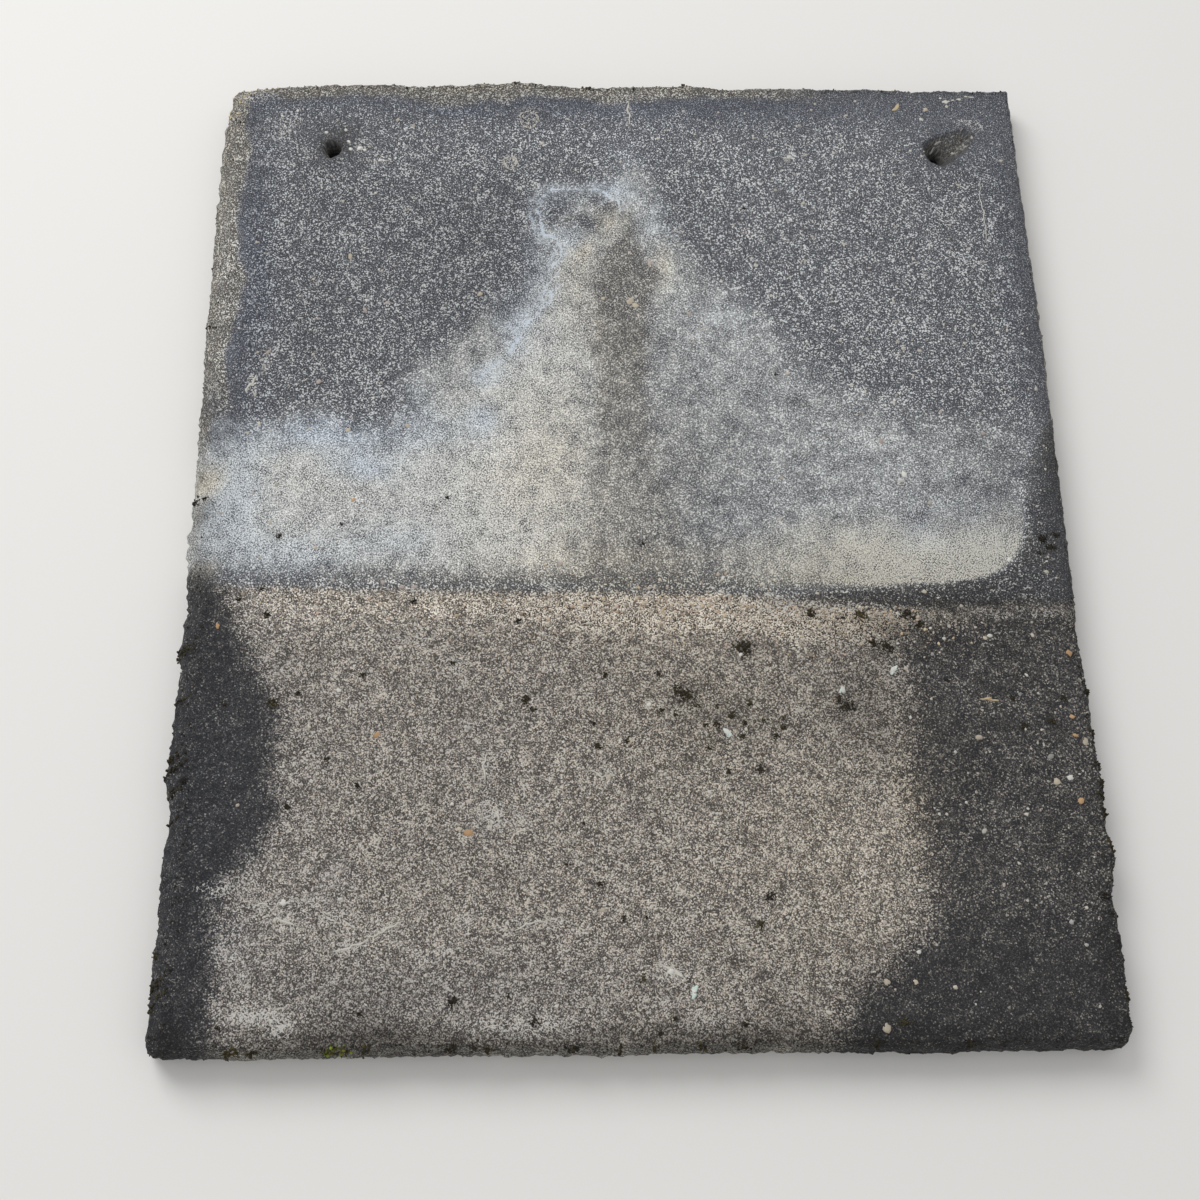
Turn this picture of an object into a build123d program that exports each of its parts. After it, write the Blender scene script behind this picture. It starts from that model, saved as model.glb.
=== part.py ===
from build123d import *
import os
from math import cos, exp, radians, sin, sqrt

# A flat roof tile cast in one piece from crushed stone and cement.
# It lies face up, its head towards +Y. The origin is the middle of its underside.

# Overall sizes, in millimetres, between the straight lines that the four edges follow
WIDTH = 381.0
LENGTH = 457.0
THICKNESS = 19.0

# Splay that was dressed along the face's edges: one depth, and a width of its own on each side
SPLAY_DEPTH = 5.5
TAIL_SPLAY = 3.0
RIGHT_SPLAY = 3.0
HEAD_SPLAY = 5.0
LEFT_SPLAY = 10.5
SPLAY_SHOULDER_DROP = 1.4
SPLAY_SHOULDER_SHARE = 0.62
BED_ARRIS = 1.2

# Corners, each a quarter of an ellipse: its reach along the width, then along the length
TAIL_RIGHT_CORNER = (7.0, 7.0)
HEAD_RIGHT_CORNER = (1.5, 1.5)
HEAD_LEFT_CORNER = (3.0, 3.0)
TAIL_LEFT_CORNER = (6.0, 6.0)

# The head's left corner is worn down: how far it stands back from the left side and the head
WORN_FROM_LEFT = 2.4
WORN_FROM_HEAD = 5.0

# Marks of the dressing along each side, in the order in which the outline runs:
# the place as a share of the side, the reach along it, and the depth of the bite (minus: a swelling)
TAIL_MARKS = [
    (0.11, 12.0, -0.8), (0.30, 9.0, 0.8), (0.45, 14.0, -0.6), (0.62, 8.0, 0.9), (0.80, 18.0, -0.7),
]
RIGHT_MARKS = [
    (0.12, 7.0, 1.3), (0.15, 7.0, -2.4), (0.215, 7.0, -1.6), (0.255, 7.0, 0.5),
    (0.345, 8.0, 1.7), (0.39, 14.0, 0.8), (0.70, 55.0, -0.9),
]
HEAD_MARKS = [
    (0.05, 9.0, 0.8), (0.12, 14.0, 1.0), (0.38, 9.0, 1.8), (0.43, 9.0, -2.0), (0.56, 9.0, 1.0),
    (0.65, 14.0, -2.4), (0.78, 6.0, 1.4), (1.0, 34.0, 3.8),
]
LEFT_MARKS = [
    (0.0, 14.0, 3.0), (0.16, 50.0, -0.8), (0.30, 9.0, -0.8), (0.475, 9.0, 0.9), (0.545, 9.0, -0.7),
    (0.597, 8.0, 2.6), (0.64, 7.0, -0.9), (0.672, 7.0, 2.3), (0.77, 8.0, -1.3), (0.797, 7.0, 2.7),
    (0.825, 8.0, 1.2), (0.90, 8.0, 1.2),
]

# Each stroke of the dressing leaves a shallow hollow between two cusps. Its length and its depth
# sway about their means by a share, as the sine or cosine of an angle that grows by each stroke.
STROKE_LENGTH = 11.0
LENGTH_SWAY = 0.28
LENGTH_SWAY_ANGLE = 2.4
STROKE_DEPTH = 0.49
DEPTH_SWAY = 0.54
DEPTH_SWAY_ANGLE = 1.7

# Distance from a side's ends within which the marks fade out
END_FADE = 9.0

# The two nail holes, each with a mouth that flares where the face broke away round it
NAIL_HOLE_DIAMETER = 6.0
NAIL_MOUTH_DIAMETER = 14.0
NAIL_MOUTH_DEPTH = 5.0
NAIL_SPACING = 287.0
NAIL_PAIR_OFFSET = 6.1
NAIL_FROM_HEAD = 41.5

# The flake that has sprung off beside the right nail hole
SPALL_DEPTH = 4.2
SPALL_WIDTH = 17.5
SPALL_BACK = 4.5
SPALL_REACH = 25.0
SPALL_BEARING = 32.0


def clear_of_end(distance):
    """0 at a side's end and 1 from END_FADE on, with a smooth rise between them."""
    share = min(1.0, distance / END_FADE)
    return share * share * (3 - 2 * share)


def standing_back(distance, side_length, marks):
    """How far the edge stands back from its straight line: the sum of a bell for each mark,
    fading to nothing at the side's two ends."""
    bites = sum(
        depth * exp(-(((distance - place * side_length) / reach) ** 2))
        for place, reach, depth in marks
    )
    return clear_of_end(min(distance, side_length - distance)) * bites


def dressed_side(start, end, inward, marks, strokes, mark_share, worn=(0.0, 0.0)):
    """One side from start to end as a row of hollow arcs, one for each stroke of the dressing.

    The cusps between the arcs lie at uneven steps, a sine of the stroke's number, on the line
    that the marks and the worn ends give. Each arc's middle lies further inward by that
    stroke's depth."""
    run = Vector(*end) - Vector(*start)
    inward = Vector(*inward)
    cusps = []
    for stroke in range(strokes + 1):
        sway = LENGTH_SWAY * sin(LENGTH_SWAY_ANGLE * stroke) if 0 < stroke < strokes else 0
        distance = run.length * (stroke + sway) / strokes
        bite = mark_share * standing_back(distance, run.length, marks)
        bite += worn[0] * (1 - clear_of_end(distance))
        bite += worn[1] * (1 - clear_of_end(run.length - distance))
        cusps.append(Vector(*start) + run.normalized() * distance + inward * bite)
    for stroke in range(strokes):
        chord_middle = (cusps[stroke] + cusps[stroke + 1]) / 2
        depth = STROKE_DEPTH * (1 + DEPTH_SWAY * cos(DEPTH_SWAY_ANGLE * stroke))
        middle = chord_middle + inward * mark_share * depth
        ThreePointArc(cusps[stroke], middle, cusps[stroke + 1])


def face_outline(splay_share, margin, mark_share):
    """The closed outline at one level: four dressed sides joined by four elliptical corners.

    Each side stands back by its share of that side's splay, plus a margin all round."""
    left = -WIDTH / 2 + margin + splay_share * LEFT_SPLAY
    right = WIDTH / 2 - margin - splay_share * RIGHT_SPLAY
    tail = -LENGTH / 2 + margin + splay_share * TAIL_SPLAY
    head = LENGTH / 2 - margin - splay_share * HEAD_SPLAY
    tail_left, tail_right = TAIL_LEFT_CORNER, TAIL_RIGHT_CORNER
    head_left, head_right = HEAD_LEFT_CORNER, HEAD_RIGHT_CORNER
    across = round(WIDTH / STROKE_LENGTH)
    along = round(LENGTH / STROKE_LENGTH)
    worn_left = left + WORN_FROM_LEFT
    worn_head = head - WORN_FROM_HEAD
    tail_line = ((left + tail_left[0], tail), (right - tail_right[0], tail))
    right_line = ((right, tail + tail_right[1]), (right, head - head_right[1]))
    head_line = ((right - head_right[0], head), (worn_left + head_left[0], head))
    left_line = ((left, worn_head - head_left[1]), (left, tail + tail_left[1]))
    dressed_side(*tail_line, (0, 1), TAIL_MARKS, across, mark_share)
    dressed_side(*right_line, (-1, 0), RIGHT_MARKS, along, mark_share)
    dressed_side(*head_line, (0, -1), HEAD_MARKS, across, mark_share, (0, WORN_FROM_HEAD))
    dressed_side(*left_line, (1, 0), LEFT_MARKS, along, mark_share, (WORN_FROM_LEFT, 0))
    corners = [
        ((left + tail_left[0], tail + tail_left[1]), tail_left, 180),
        ((right - tail_right[0], tail + tail_right[1]), tail_right, 270),
        ((right - head_right[0], head - head_right[1]), head_right, 0),
        ((worn_left + head_left[0], worn_head - head_left[1]), head_left, 90),
    ]
    for centre, reaches, start_angle in corners:
        EllipticalCenterArc(centre, *reaches, start_angle=start_angle, arc_size=90)


# Levels of the slab from its bed to its face: height, share of the splay, margin and share of
# the dressing marks
LEVELS = [
    (0.0, 0.0, BED_ARRIS, 0.6),
    (BED_ARRIS, 0.0, 0.0, 0.8),
    (THICKNESS - SPLAY_DEPTH, 0.0, 0.0, 1.0),
    (THICKNESS - SPLAY_SHOULDER_DROP, SPLAY_SHOULDER_SHARE, 0.0, 0.8),
    (THICKNESS, 1.0, 0.0, 0.6),
]

# The nail holes' centres, seen from above
nail_y = LENGTH / 2 - NAIL_FROM_HEAD
nail_left_x = NAIL_PAIR_OFFSET - NAIL_SPACING / 2
nail_right_x = NAIL_PAIR_OFFSET + NAIL_SPACING / 2

# The flake's scar is the bottom of a round body laid on the face: its radius comes from the
# scar's width and depth, and its axis lies above the face by the difference
spall_radius = ((SPALL_WIDTH / 2) ** 2 + SPALL_DEPTH**2) / (2 * SPALL_DEPTH)
spall_axis_height = spall_radius - SPALL_DEPTH
spall_stretch = 1 / sqrt(1 - (spall_axis_height / spall_radius) ** 2)
spall_bearing = radians(SPALL_BEARING)
spall_plane = Plane(
    origin=(nail_right_x, nail_y, THICKNESS + spall_axis_height),
    x_dir=(cos(spall_bearing), sin(spall_bearing), 0),
    z_dir=(sin(spall_bearing), -cos(spall_bearing), 0),
)

with BuildPart() as roof_tile:
    # The cast slab with its splayed and dressed edges
    for height, splay_share, margin, mark_share in LEVELS:
        with BuildSketch(Plane.XY.offset(height)):
            with BuildLine():
                face_outline(splay_share, margin, mark_share)
            make_face()
    loft(ruled=True)

    # Each nail hole is one turned profile: a straight shank, then a flare like a trumpet's
    for nail_x in (nail_left_x, nail_right_x):
        hole_radius = NAIL_HOLE_DIAMETER / 2
        mouth_radius = NAIL_MOUTH_DIAMETER / 2
        flare_foot = THICKNESS - NAIL_MOUTH_DEPTH
        with BuildSketch(Plane((nail_x, nail_y, 0), x_dir=(1, 0, 0), z_dir=(0, -1, 0))):
            with BuildLine():
                Line((0, 0), (hole_radius, 0))
                Line((hole_radius, 0), (hole_radius, flare_foot))
                EllipticalCenterArc(
                    (mouth_radius, flare_foot),
                    mouth_radius - hole_radius,
                    NAIL_MOUTH_DEPTH,
                    start_angle=90,
                    arc_size=90,
                )
                Line((mouth_radius, THICKNESS), (0, THICKNESS))
                Line((0, THICKNESS), (0, 0))
            make_face()
        revolve(axis=Axis((nail_x, nail_y, 0), (0, 0, 1)), mode=Mode.SUBTRACT)

    # The scar: steep behind the hole, long and shallow towards the head's right corner
    with BuildSketch(spall_plane):
        with BuildLine():
            EllipticalCenterArc(
                (0, 0), SPALL_BACK * spall_stretch, spall_radius, start_angle=180, arc_size=90
            )
            EllipticalCenterArc(
                (0, 0), SPALL_REACH * spall_stretch, spall_radius, start_angle=270, arc_size=90
            )
            Line((SPALL_REACH * spall_stretch, 0), (-SPALL_BACK * spall_stretch, 0))
        make_face()
    revolve(axis=Axis(spall_plane.origin, spall_plane.x_dir), mode=Mode.SUBTRACT)

roof_tile.part.label = "roof_tile"

os.makedirs("parts", exist_ok=True)
export_step(roof_tile.part, "parts/roof_tile.step")

print("volume in cubic centimetres:", round(roof_tile.part.volume / 1000, 1))
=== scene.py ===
from math import radians, tau

import bpy
import numpy as np
from mathutils import Matrix, Vector


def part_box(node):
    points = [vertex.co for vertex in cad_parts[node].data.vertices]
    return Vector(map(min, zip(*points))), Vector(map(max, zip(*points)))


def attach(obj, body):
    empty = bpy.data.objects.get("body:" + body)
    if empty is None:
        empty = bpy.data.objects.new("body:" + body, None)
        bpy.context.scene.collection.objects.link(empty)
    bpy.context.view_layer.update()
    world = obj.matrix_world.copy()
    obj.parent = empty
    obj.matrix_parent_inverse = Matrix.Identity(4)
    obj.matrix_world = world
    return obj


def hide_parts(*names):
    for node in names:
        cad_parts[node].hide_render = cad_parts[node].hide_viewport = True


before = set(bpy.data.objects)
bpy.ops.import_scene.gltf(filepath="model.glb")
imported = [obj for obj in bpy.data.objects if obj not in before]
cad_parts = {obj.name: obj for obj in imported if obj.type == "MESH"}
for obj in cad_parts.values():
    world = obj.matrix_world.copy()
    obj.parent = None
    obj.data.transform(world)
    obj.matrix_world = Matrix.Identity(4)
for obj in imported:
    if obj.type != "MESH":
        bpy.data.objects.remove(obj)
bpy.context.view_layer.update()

# The cast slab
# One piece, cast from crushed stone and cement, then dressed along its edges stroke by stroke.
# Its outline is read from the solid, so that the finished skin follows it at every height.
MM = 0.001
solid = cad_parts["roof_tile"]
high_corner = np.array(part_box("roof_tile")[1]) / MM
FACE_HEIGHT = high_corner[2]

# Heights of the solid's outlines in millimetres, and the rings of the skin from each to the
# next. A corner point counts as a level's within the tolerance, and as its rim's beyond a share
# of the solid's own reach. The face's first ring lies a little below the face.
RIM_HEIGHTS = (FACE_HEIGHT, 17.6, 13.5, 1.2, 0.0)
RINGS_BETWEEN_RIMS = (3, 4, 8, 2)
LEVEL_TOLERANCE = 0.03
RIM_SHARE = 0.905
TOP_RING_DROP = 0.35

# The face's lattice, before its border is moved out to the rim; the bed's is coarser
FACE_LEFT, FACE_RIGHT = -180.0, 187.5
FACE_TAIL, FACE_HEAD = -225.5, 223.5
CELLS_ACROSS, CELLS_ALONG = 228, 276
COARSER = 4
BORDER_FADE = 7

# The nail holes' centres, and the cells that each one's rings replace: before, after, below and
# above it. The rings crowd towards the bore by a power of their share of the way.
NAIL_HOLES = {"left": (-137.4, 187.0), "right": (149.6, 187.0)}
WINDOW_CELLS = {"left": (12, 12, 8, 12), "right": (8, 16, 8, 12)}
HOLE_RADIUS = 3.0
MOUTH_RADIUS = 7.0
MOUTH_DEPTH = 5.0
RINGS_TO_MOUTH = 17
RINGS_DOWN_BORE = 7
RING_CROWDING = 1.5

# The flake's scar beside the right hole
SPALL_DEPTH = 4.2
SPALL_WIDTH = 17.5
SPALL_BACK = 4.5
SPALL_REACH = 25.0
SPALL_BEARING = radians(32)

# The line up to which the course above covered the face, and how far it slopes
LAP_LINE = -41.0
LAP_SLOPE = -0.020

# Wear of the face: how far the skin lies below the solid's top, how much more of it is gone where
# rain fell on it, and the depth and reach of the worn border
SKIN_DROP = 0.32
RAIN_WEAR = 0.25
BORDER_WEAR = 0.5
BORDER_REACH = 9


def smoothstep(low, high, value):
    """0 at low and past it, 1 at high and past it, and 3 s^2 - 2 s^3 of the share s of the way
    between them. Low may be the greater of the two."""
    share = np.clip((value - low) / (high - low), 0, 1)
    return share * share * (3 - 2 * share)


def unevenness(places, wavelength, seed, waves=30):
    """A smooth random height, mostly between -2 and 2: the sum of cosine waves of random
    direction and phase, whose lengths lie around the given one, over the root of half their
    number."""
    draw = np.random.default_rng(seed)
    directions = draw.normal(size=(waves, 3))
    directions /= np.linalg.norm(directions, axis=1, keepdims=True)
    lengths = wavelength * draw.uniform(0.65, 1.5, (waves, 1))
    phases = draw.uniform(0, tau, waves)
    return np.cos(places @ (tau * directions / lengths).T + phases).sum(axis=1) / (waves / 2) ** 0.5


def points_of(mesh):
    """The mesh's points, in millimetres."""
    points = np.empty(len(mesh.vertices) * 3)
    mesh.vertices.foreach_get("co", points)
    return points.reshape(-1, 3) / MM


def rim_reach(corners, height, bearings):
    """Distance from the middle to the solid's rim at each bearing: the solid's own corner points
    at that height, apart from those of its holes, joined by straight lines in order of bearing."""
    level = corners[abs(corners[:, 2] - height) < LEVEL_TOLERANCE]
    level = level[np.max(abs(level[:, :2]) / high_corner[:2], axis=1) > RIM_SHARE]
    order = np.argsort(np.arctan2(level[:, 1], level[:, 0]))
    angles = np.arctan2(level[order, 1], level[order, 0])
    return np.interp(bearings, angles, np.hypot(level[order, 0], level[order, 1]), period=tau)


def around(first_column, last_column, first_row, last_row):
    """Columns and rows of a lattice's points round a rectangle of it, anticlockwise from its
    tail-left corner."""
    columns = np.arange(first_column, last_column)
    rows = np.arange(first_row, last_row)
    at_left, at_right = np.full(len(rows), first_column), np.full(len(rows), last_column)
    at_tail, at_head = np.full(len(columns), first_row), np.full(len(columns), last_row)
    return (
        np.concatenate([columns, at_right, columns[::-1] + 1, at_left]),
        np.concatenate([at_tail, rows, at_head, rows[::-1] + 1]),
    )


def edge_roughness(places):
    """How roughly the edge broke at each place: least along the right side's upper half, fully
    along the left side and the lower half."""
    x, y, _ = places.T
    smoother = smoothstep(-60, 0, y) * smoothstep(150, 190, x)
    return 1 - 0.55 * smoother - 0.25 * smoothstep(218, 228, y) * (1 - smoother)


def above_lap(x, y):
    """How far each place lies above the lap line: y - line - slope x."""
    return y - LAP_LINE - LAP_SLOPE * x


def spall_depth(x, y):
    """Depth of the scar beside the right nail hole. It is the bottom of a round body whose
    radius is R sqrt(1 - (a / A)^2) at the distance a along its axis, which lies R - depth above
    the face; A is shorter behind the hole than before it."""
    radius = ((SPALL_WIDTH / 2) ** 2 + SPALL_DEPTH**2) / (2 * SPALL_DEPTH)
    axis_height = radius - SPALL_DEPTH
    stretch = 1 / np.sqrt(1 - (axis_height / radius) ** 2)
    from_hole = np.stack([x - NAIL_HOLES["right"][0], y - NAIL_HOLES["right"][1]])
    along = np.cos(SPALL_BEARING) * from_hole[0] + np.sin(SPALL_BEARING) * from_hole[1]
    across = np.cos(SPALL_BEARING) * from_hole[1] - np.sin(SPALL_BEARING) * from_hole[0]
    half_length = np.where(along > 0, SPALL_REACH, SPALL_BACK) * stretch
    section = radius * np.sqrt(np.clip(1 - (along / half_length) ** 2, 0, 1))
    return np.clip(np.sqrt(np.clip(section**2 - across**2, 0, None)) - axis_height, 0, None)


# Round scars where a pebble popped out, and pits: place across and along, radius, depth. A
# scar is a groove along its circle, of this half width.
RING_SCARS = [
    (-45, 205, 3.6, 0.7), (-54, 180, 2.4, 0.5), (-122, 203, 2.0, 0.4), (-37, -36, 2.2, 0.3),
]
PITS = [
    (-151, -14, 2.2, 1.3), (-76, -72, 1.6, 0.9), (-49, -53, 1.4, 1.0), (185, -171, 2.0, 1.2),
    (-166, -43, 1.4, 0.8), (-154, -50, 1.5, 1.0), (-157, -38, 1.2, 0.8), (-93, -44, 1.2, 0.7),
    (4, -18, 1.0, 0.7), (180, -17, 2.6, 1.2), (184, -12, 1.8, 1.0), (177, -22, 1.6, 0.9),
    (60, 66, 1.5, 0.8), (84, 53, 2.2, 0.8), (122, 50, 1.8, 0.7), (118, 60, 1.3, 0.6),
]
SCAR_GROOVE = 0.9


def face_height(x, y):
    """Height of the face: its level, less the erosion of the uncovered tail half, the worn
    border, the scars and pits, plus the unevenness of casting and wear at four scales."""
    flat = np.stack([x, y, np.zeros_like(x)], axis=1)
    uncovered = smoothstep(4, -10, above_lap(x, y))
    to_border = np.minimum(
        np.minimum(x - FACE_LEFT, FACE_RIGHT - x), np.minimum(y - FACE_TAIL, FACE_HEAD - y)
    )
    height = np.full_like(x, FACE_HEIGHT - SKIN_DROP)
    height += 0.16 * unevenness(flat, 110, 1) + 0.07 * unevenness(flat, 30, 2)
    height += (0.06 + 0.07 * uncovered) * unevenness(flat, 6.5, 3)
    height += (0.045 + 0.05 * uncovered) * unevenness(flat, 3.4, 4)
    height -= RAIN_WEAR * uncovered
    height -= BORDER_WEAR * (1 - smoothstep(0, BORDER_REACH, to_border)) ** 2
    for scar_x, scar_y, radius, depth in RING_SCARS:
        off_ring = np.hypot(x - scar_x, y - scar_y) - radius
        height -= depth * np.exp(-((off_ring / SCAR_GROOVE) ** 2))
    for pit_x, pit_y, radius, depth in PITS:
        height -= depth * np.exp(-((np.hypot(x - pit_x, y - pit_y) / radius) ** 2))
    ragged = 1 + 0.10 * unevenness(flat, 9, 5) + 0.05 * unevenness(flat, 3.5, 6)
    for hole_x, hole_y in NAIL_HOLES.values():
        reach = np.hypot(x - hole_x, y - hole_y)
        reach = reach * np.where(reach > HOLE_RADIUS + 0.05, ragged, 1)
        rise = np.clip((MOUTH_RADIUS - reach) / (MOUTH_RADIUS - HOLE_RADIUS), 0, 1)
        height -= MOUTH_DEPTH * (1 - np.sqrt(1 - rise**2))
    scar = spall_depth(x, y)
    broken = smoothstep(0, 1.2, scar)
    height -= np.maximum(scar + broken * 0.35 * unevenness(flat, 7, 7), 0)
    return height


class Skin:
    """A closed surface as it grows: blocks of its points, in millimetres, and blocks of like
    polygons, as rows of point numbers."""

    def __init__(self):
        self.blocks = []
        self.polygons = []
        self.size = 0

    def lay(self, *columns):
        """Adds points, given by their columns or as one array, and gives their numbers."""
        points = np.column_stack(columns)
        self.blocks.append(points)
        self.size += len(points)
        return np.arange(self.size - len(points), self.size)

    def strip(self, outer, inner):
        """Quads between two closed rings of as many points."""
        following = np.stack([outer, np.roll(outer, -1), np.roll(inner, -1), inner], axis=1)
        self.polygons.append(following)

    def gather(self, outer, inner, downward=False):
        """Pentagons from a closed ring to one with half its points."""
        fan = np.stack(
            [outer[::2], outer[1::2], np.roll(outer[::2], -1), np.roll(inner, -1), inner], axis=1
        )
        self.polygons.append(fan[:, ::-1] if downward else fan)

    def cells(self, lattice, windows, downward=False):
        """Quads of a lattice of point numbers, apart from those in the windows."""
        kept = np.ones((lattice.shape[0] - 1, lattice.shape[1] - 1), bool)
        for first_column, last_column, first_row, last_row in windows:
            kept[first_column:last_column, first_row:last_row] = False
        quads = np.stack(
            [lattice[:-1, :-1], lattice[1:, :-1], lattice[1:, 1:], lattice[:-1, 1:]], axis=-1
        )[kept]
        self.polygons.append(quads[:, ::-1] if downward else quads)

    def mesh(self, name):
        """The surface as a mesh in metres, without the points that no polygon uses."""
        points = np.concatenate(self.blocks) * MM
        used = np.zeros(len(points), bool)
        for block in self.polygons:
            used[block] = True
        renumbered = np.cumsum(used) - 1
        polygons = [polygon for block in self.polygons for polygon in renumbered[block].tolist()]
        mesh = bpy.data.meshes.new(name)
        mesh.from_pydata(points[used].tolist(), [], polygons)
        mesh.shade_smooth()
        return mesh


# What has stained the slab: a bloom of lime that crept out from under the course above, the
# bright line that its last tide left, the joint that ran down its middle, and a black film of
# algae down the uncovered sides and into a notch beside the bloom. Each outline is a closed row
# of corners, across and along.
LIME_EDGE = [
    (-205, 33), (-188, 34), (-178, 40), (-165, 41), (-152, 45), (-138, 46), (-126, 42), (-112, 38),
    (-103, 44), (-102, 58), (-97, 70), (-86, 75), (-77, 85), (-67, 94), (-57, 103), (-48, 114),
    (-45, 130), (-43, 150), (-41, 165), (-26, 166), (-12, 166), (-7, 180), (0, 190), (9, 184), (14, 168),
    (20, 152), (26, 136), (35, 118), (52, 106), (65, 94), (75, 76), (93, 60), (118, 50), (136, 47),
    (162, 42), (184, 38), (172, -5), (163, -24), (135, -37), (60, -40), (-60, -40), (-178, -37),
    (-205, -38),
]
TIDE_EDGE = [
    (-80, 55), (-67, 62), (-60, 70), (-54, 76), (-47, 86), (-41, 97), (-35.5, 105), (-34, 111),
    (-35, 121), (-33, 129), (-31, 136), (-38, 139), (-40, 148), (-39, 160), (-32, 163.5), (-17, 163.5),
    (-10.5, 161), (-5, 156.5), (-3, 152), (-3, 100), (-40, 50),
]
JOINT_EDGE = [
    (0.5, 155), (2.5, 148), (3.5, 138), (8, 130), (13.5, 122), (14, 108), (12, 99), (10, 92), (11, 84),
    (9, 75), (10, 50), (9, 20), (20, -10), (26, -40), (-26, -40), (-18, -10), (-12, 20), (-14, 50),
    (-16, 72), (-19, 88), (-17, 98), (-15, 112), (-12, 125), (-7, 135), (-1.5, 140), (-1, 150),
]
LEFT_FILM_EDGE = [
    (-210, -28), (-190, -29), (-177, -34), (-166, -56), (-154, -80), (-147, -94), (-147, -108),
    (-148, -122), (-145, -136), (-149, -150), (-160, -161), (-167, -176), (-167, -200), (-160, -240),
    (-210, -240),
]
RIGHT_FILM_EDGE = [
    (205, -46), (112, -47), (109, -80), (110, -110), (113, -150), (111, -182), (96, -196), (80, -208),
    (64, -240), (205, -240),
]
NOTCH_FILM_EDGE = [
    (205, 60), (190, 46), (182.5, 38), (177, 27), (172.5, 16), (171.5, 7), (171, -7), (167, -20),
    (163, -25), (158, -30), (151, -33.6), (143, -35), (130, -36), (113, -36.8), (95, -38), (78, -40),
    (60, -44), (100, -48), (205, -50),
]

# Amount of lime by place across the slab
LIME_ACROSS = [
    (-190, 0.54), (-180, 0.66), (-165, 0.72), (-120, 0.69), (-80, 0.7), (-45, 0.7), (-24, 0.6),
    (-10, 0.34), (8, 0.28), (24, 0.3), (60, 0.32), (100, 0.34), (140, 0.28), (165, 0.2),
]

# Soft patches: place across and along, reach across and along, and amount. First the parts of
# the tide's line that show, then where the lime is thicker or, with a minus, thinner.
TIDE_PATCHES = [
    (-62, 67, 9, 9, 0.7), (-50, 82, 10, 9, 0.9), (-42, 97, 8, 9, 1.0), (-34, 112, 7, 10, 1.2),
    (-32, 126, 7, 10, 1.2), (-36, 140, 8, 8, 0.65), (-40, 151, 7, 11, 0.75), (-34, 164, 9, 6, 0.48),
    (-18, 164, 10, 6, 0.34), (-6, 160, 8, 8, 1.2),
]
LIME_PATCHES = [
    (-172, 6, 12, 16, 0.12), (-100, 24, 40, 10, 0.03), (-145, -22, 22, 7, 0.06),
    (-92, 62, 12, 10, -0.26), (-78, 60, 13, 14, -0.2), (-66, 80, 9, 9, -0.3), (-50, 104, 8, 12, -0.36),
    (-46, 126, 7, 12, -0.4), (-92, 46, 14, 9, -0.14), (-110, 34, 14, 6, -0.1), (-56, 68, 8, 8, 0.1),
    (-25, 110, 8, 17, -0.1), (-33, 151, 6, 9, -0.72), (-20, 145, 7, 6, -0.64), (-9, 156, 4, 4, -0.4),
    (-42, 152, 5, 14, -0.16), (20, 114, 8, 12, 0.14), (-116, 38, 16, 8, 0.1), (-24, 156, 6, 4, -0.16),
    (-9, 163, 8, 5, 0.3), (-5, 161, 4.5, 6, 0.6), (7, 165, 8, 7, 0.12), (-14, 158, 4, 3, -0.3),
    (-17, 129, 9, 6, 0.16), (0, 184, 10, 9, -0.1), (12, 152, 7, 14, 0.4), (21, 130, 9, 16, 0.24),
    (42, 106, 16, 12, 0.14), (75, 86, 20, 13, 0.22), (102, 66, 18, 10, 0.24), (126, 54, 14, 9, 0.2),
    (-176, 16, 8, 18, 0.1), (-40, -6, 24, 22, 0.06), (0, 168, 9, 8, 0.26), (-6, 146, 6, 6, 0.2),
    (-100, 64, 9, 6, 0.16), (38, 98, 14, 10, 0.1), (64, 88, 9, 10, 0.04), (50, 62, 20, 12, 0.04),
    (76, 56, 7, 6, 0.12), (104, 55, 10, 6, 0.1), (112, 32, 7, 6, 0.14), (88, 40, 6, 14, -0.1),
    (124, 38, 6, 10, -0.16), (70, 52, 12, 4, -0.12), (60, 2, 30, 18, -0.04), (30, -6, 20, 26, -0.08),
    (-120, -2, 24, 8, -0.06), (-22, 45, 9, 30, -0.04), (98, -20, 34, 8, 0.1), (60, -24, 16, 9, 0.08),
    (128, -6, 22, 7, -0.12), (170, 0, 5, 14, 0.14), (-160, -32, 34, 6, -0.18), (-110, -28, 24, 6, -0.08),
    (-182, 28, 8, 10, -0.12), (-186, -4, 5, 5, -0.35), (-70, 87, 6, 5, 0.3), (-84, 61, 6, 5, 0.28),
    (16, 148, 4, 5, 0.46), (-15, 149, 3.5, 3.5, 0.36), (-4, 139, 3.5, 4, 0.36), (-21, -22, 7, 6, -0.28),
    (-40, 139, 4, 5, -0.28), (-178, -33, 6, 5, 0.3), (92, 80, 7, 6, 0.6), (121, 62, 6, 5, 0.46),
    (0, 119, 6, 6, 0.16), (-173, 42, 5, 4, 0.46),
]

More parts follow.
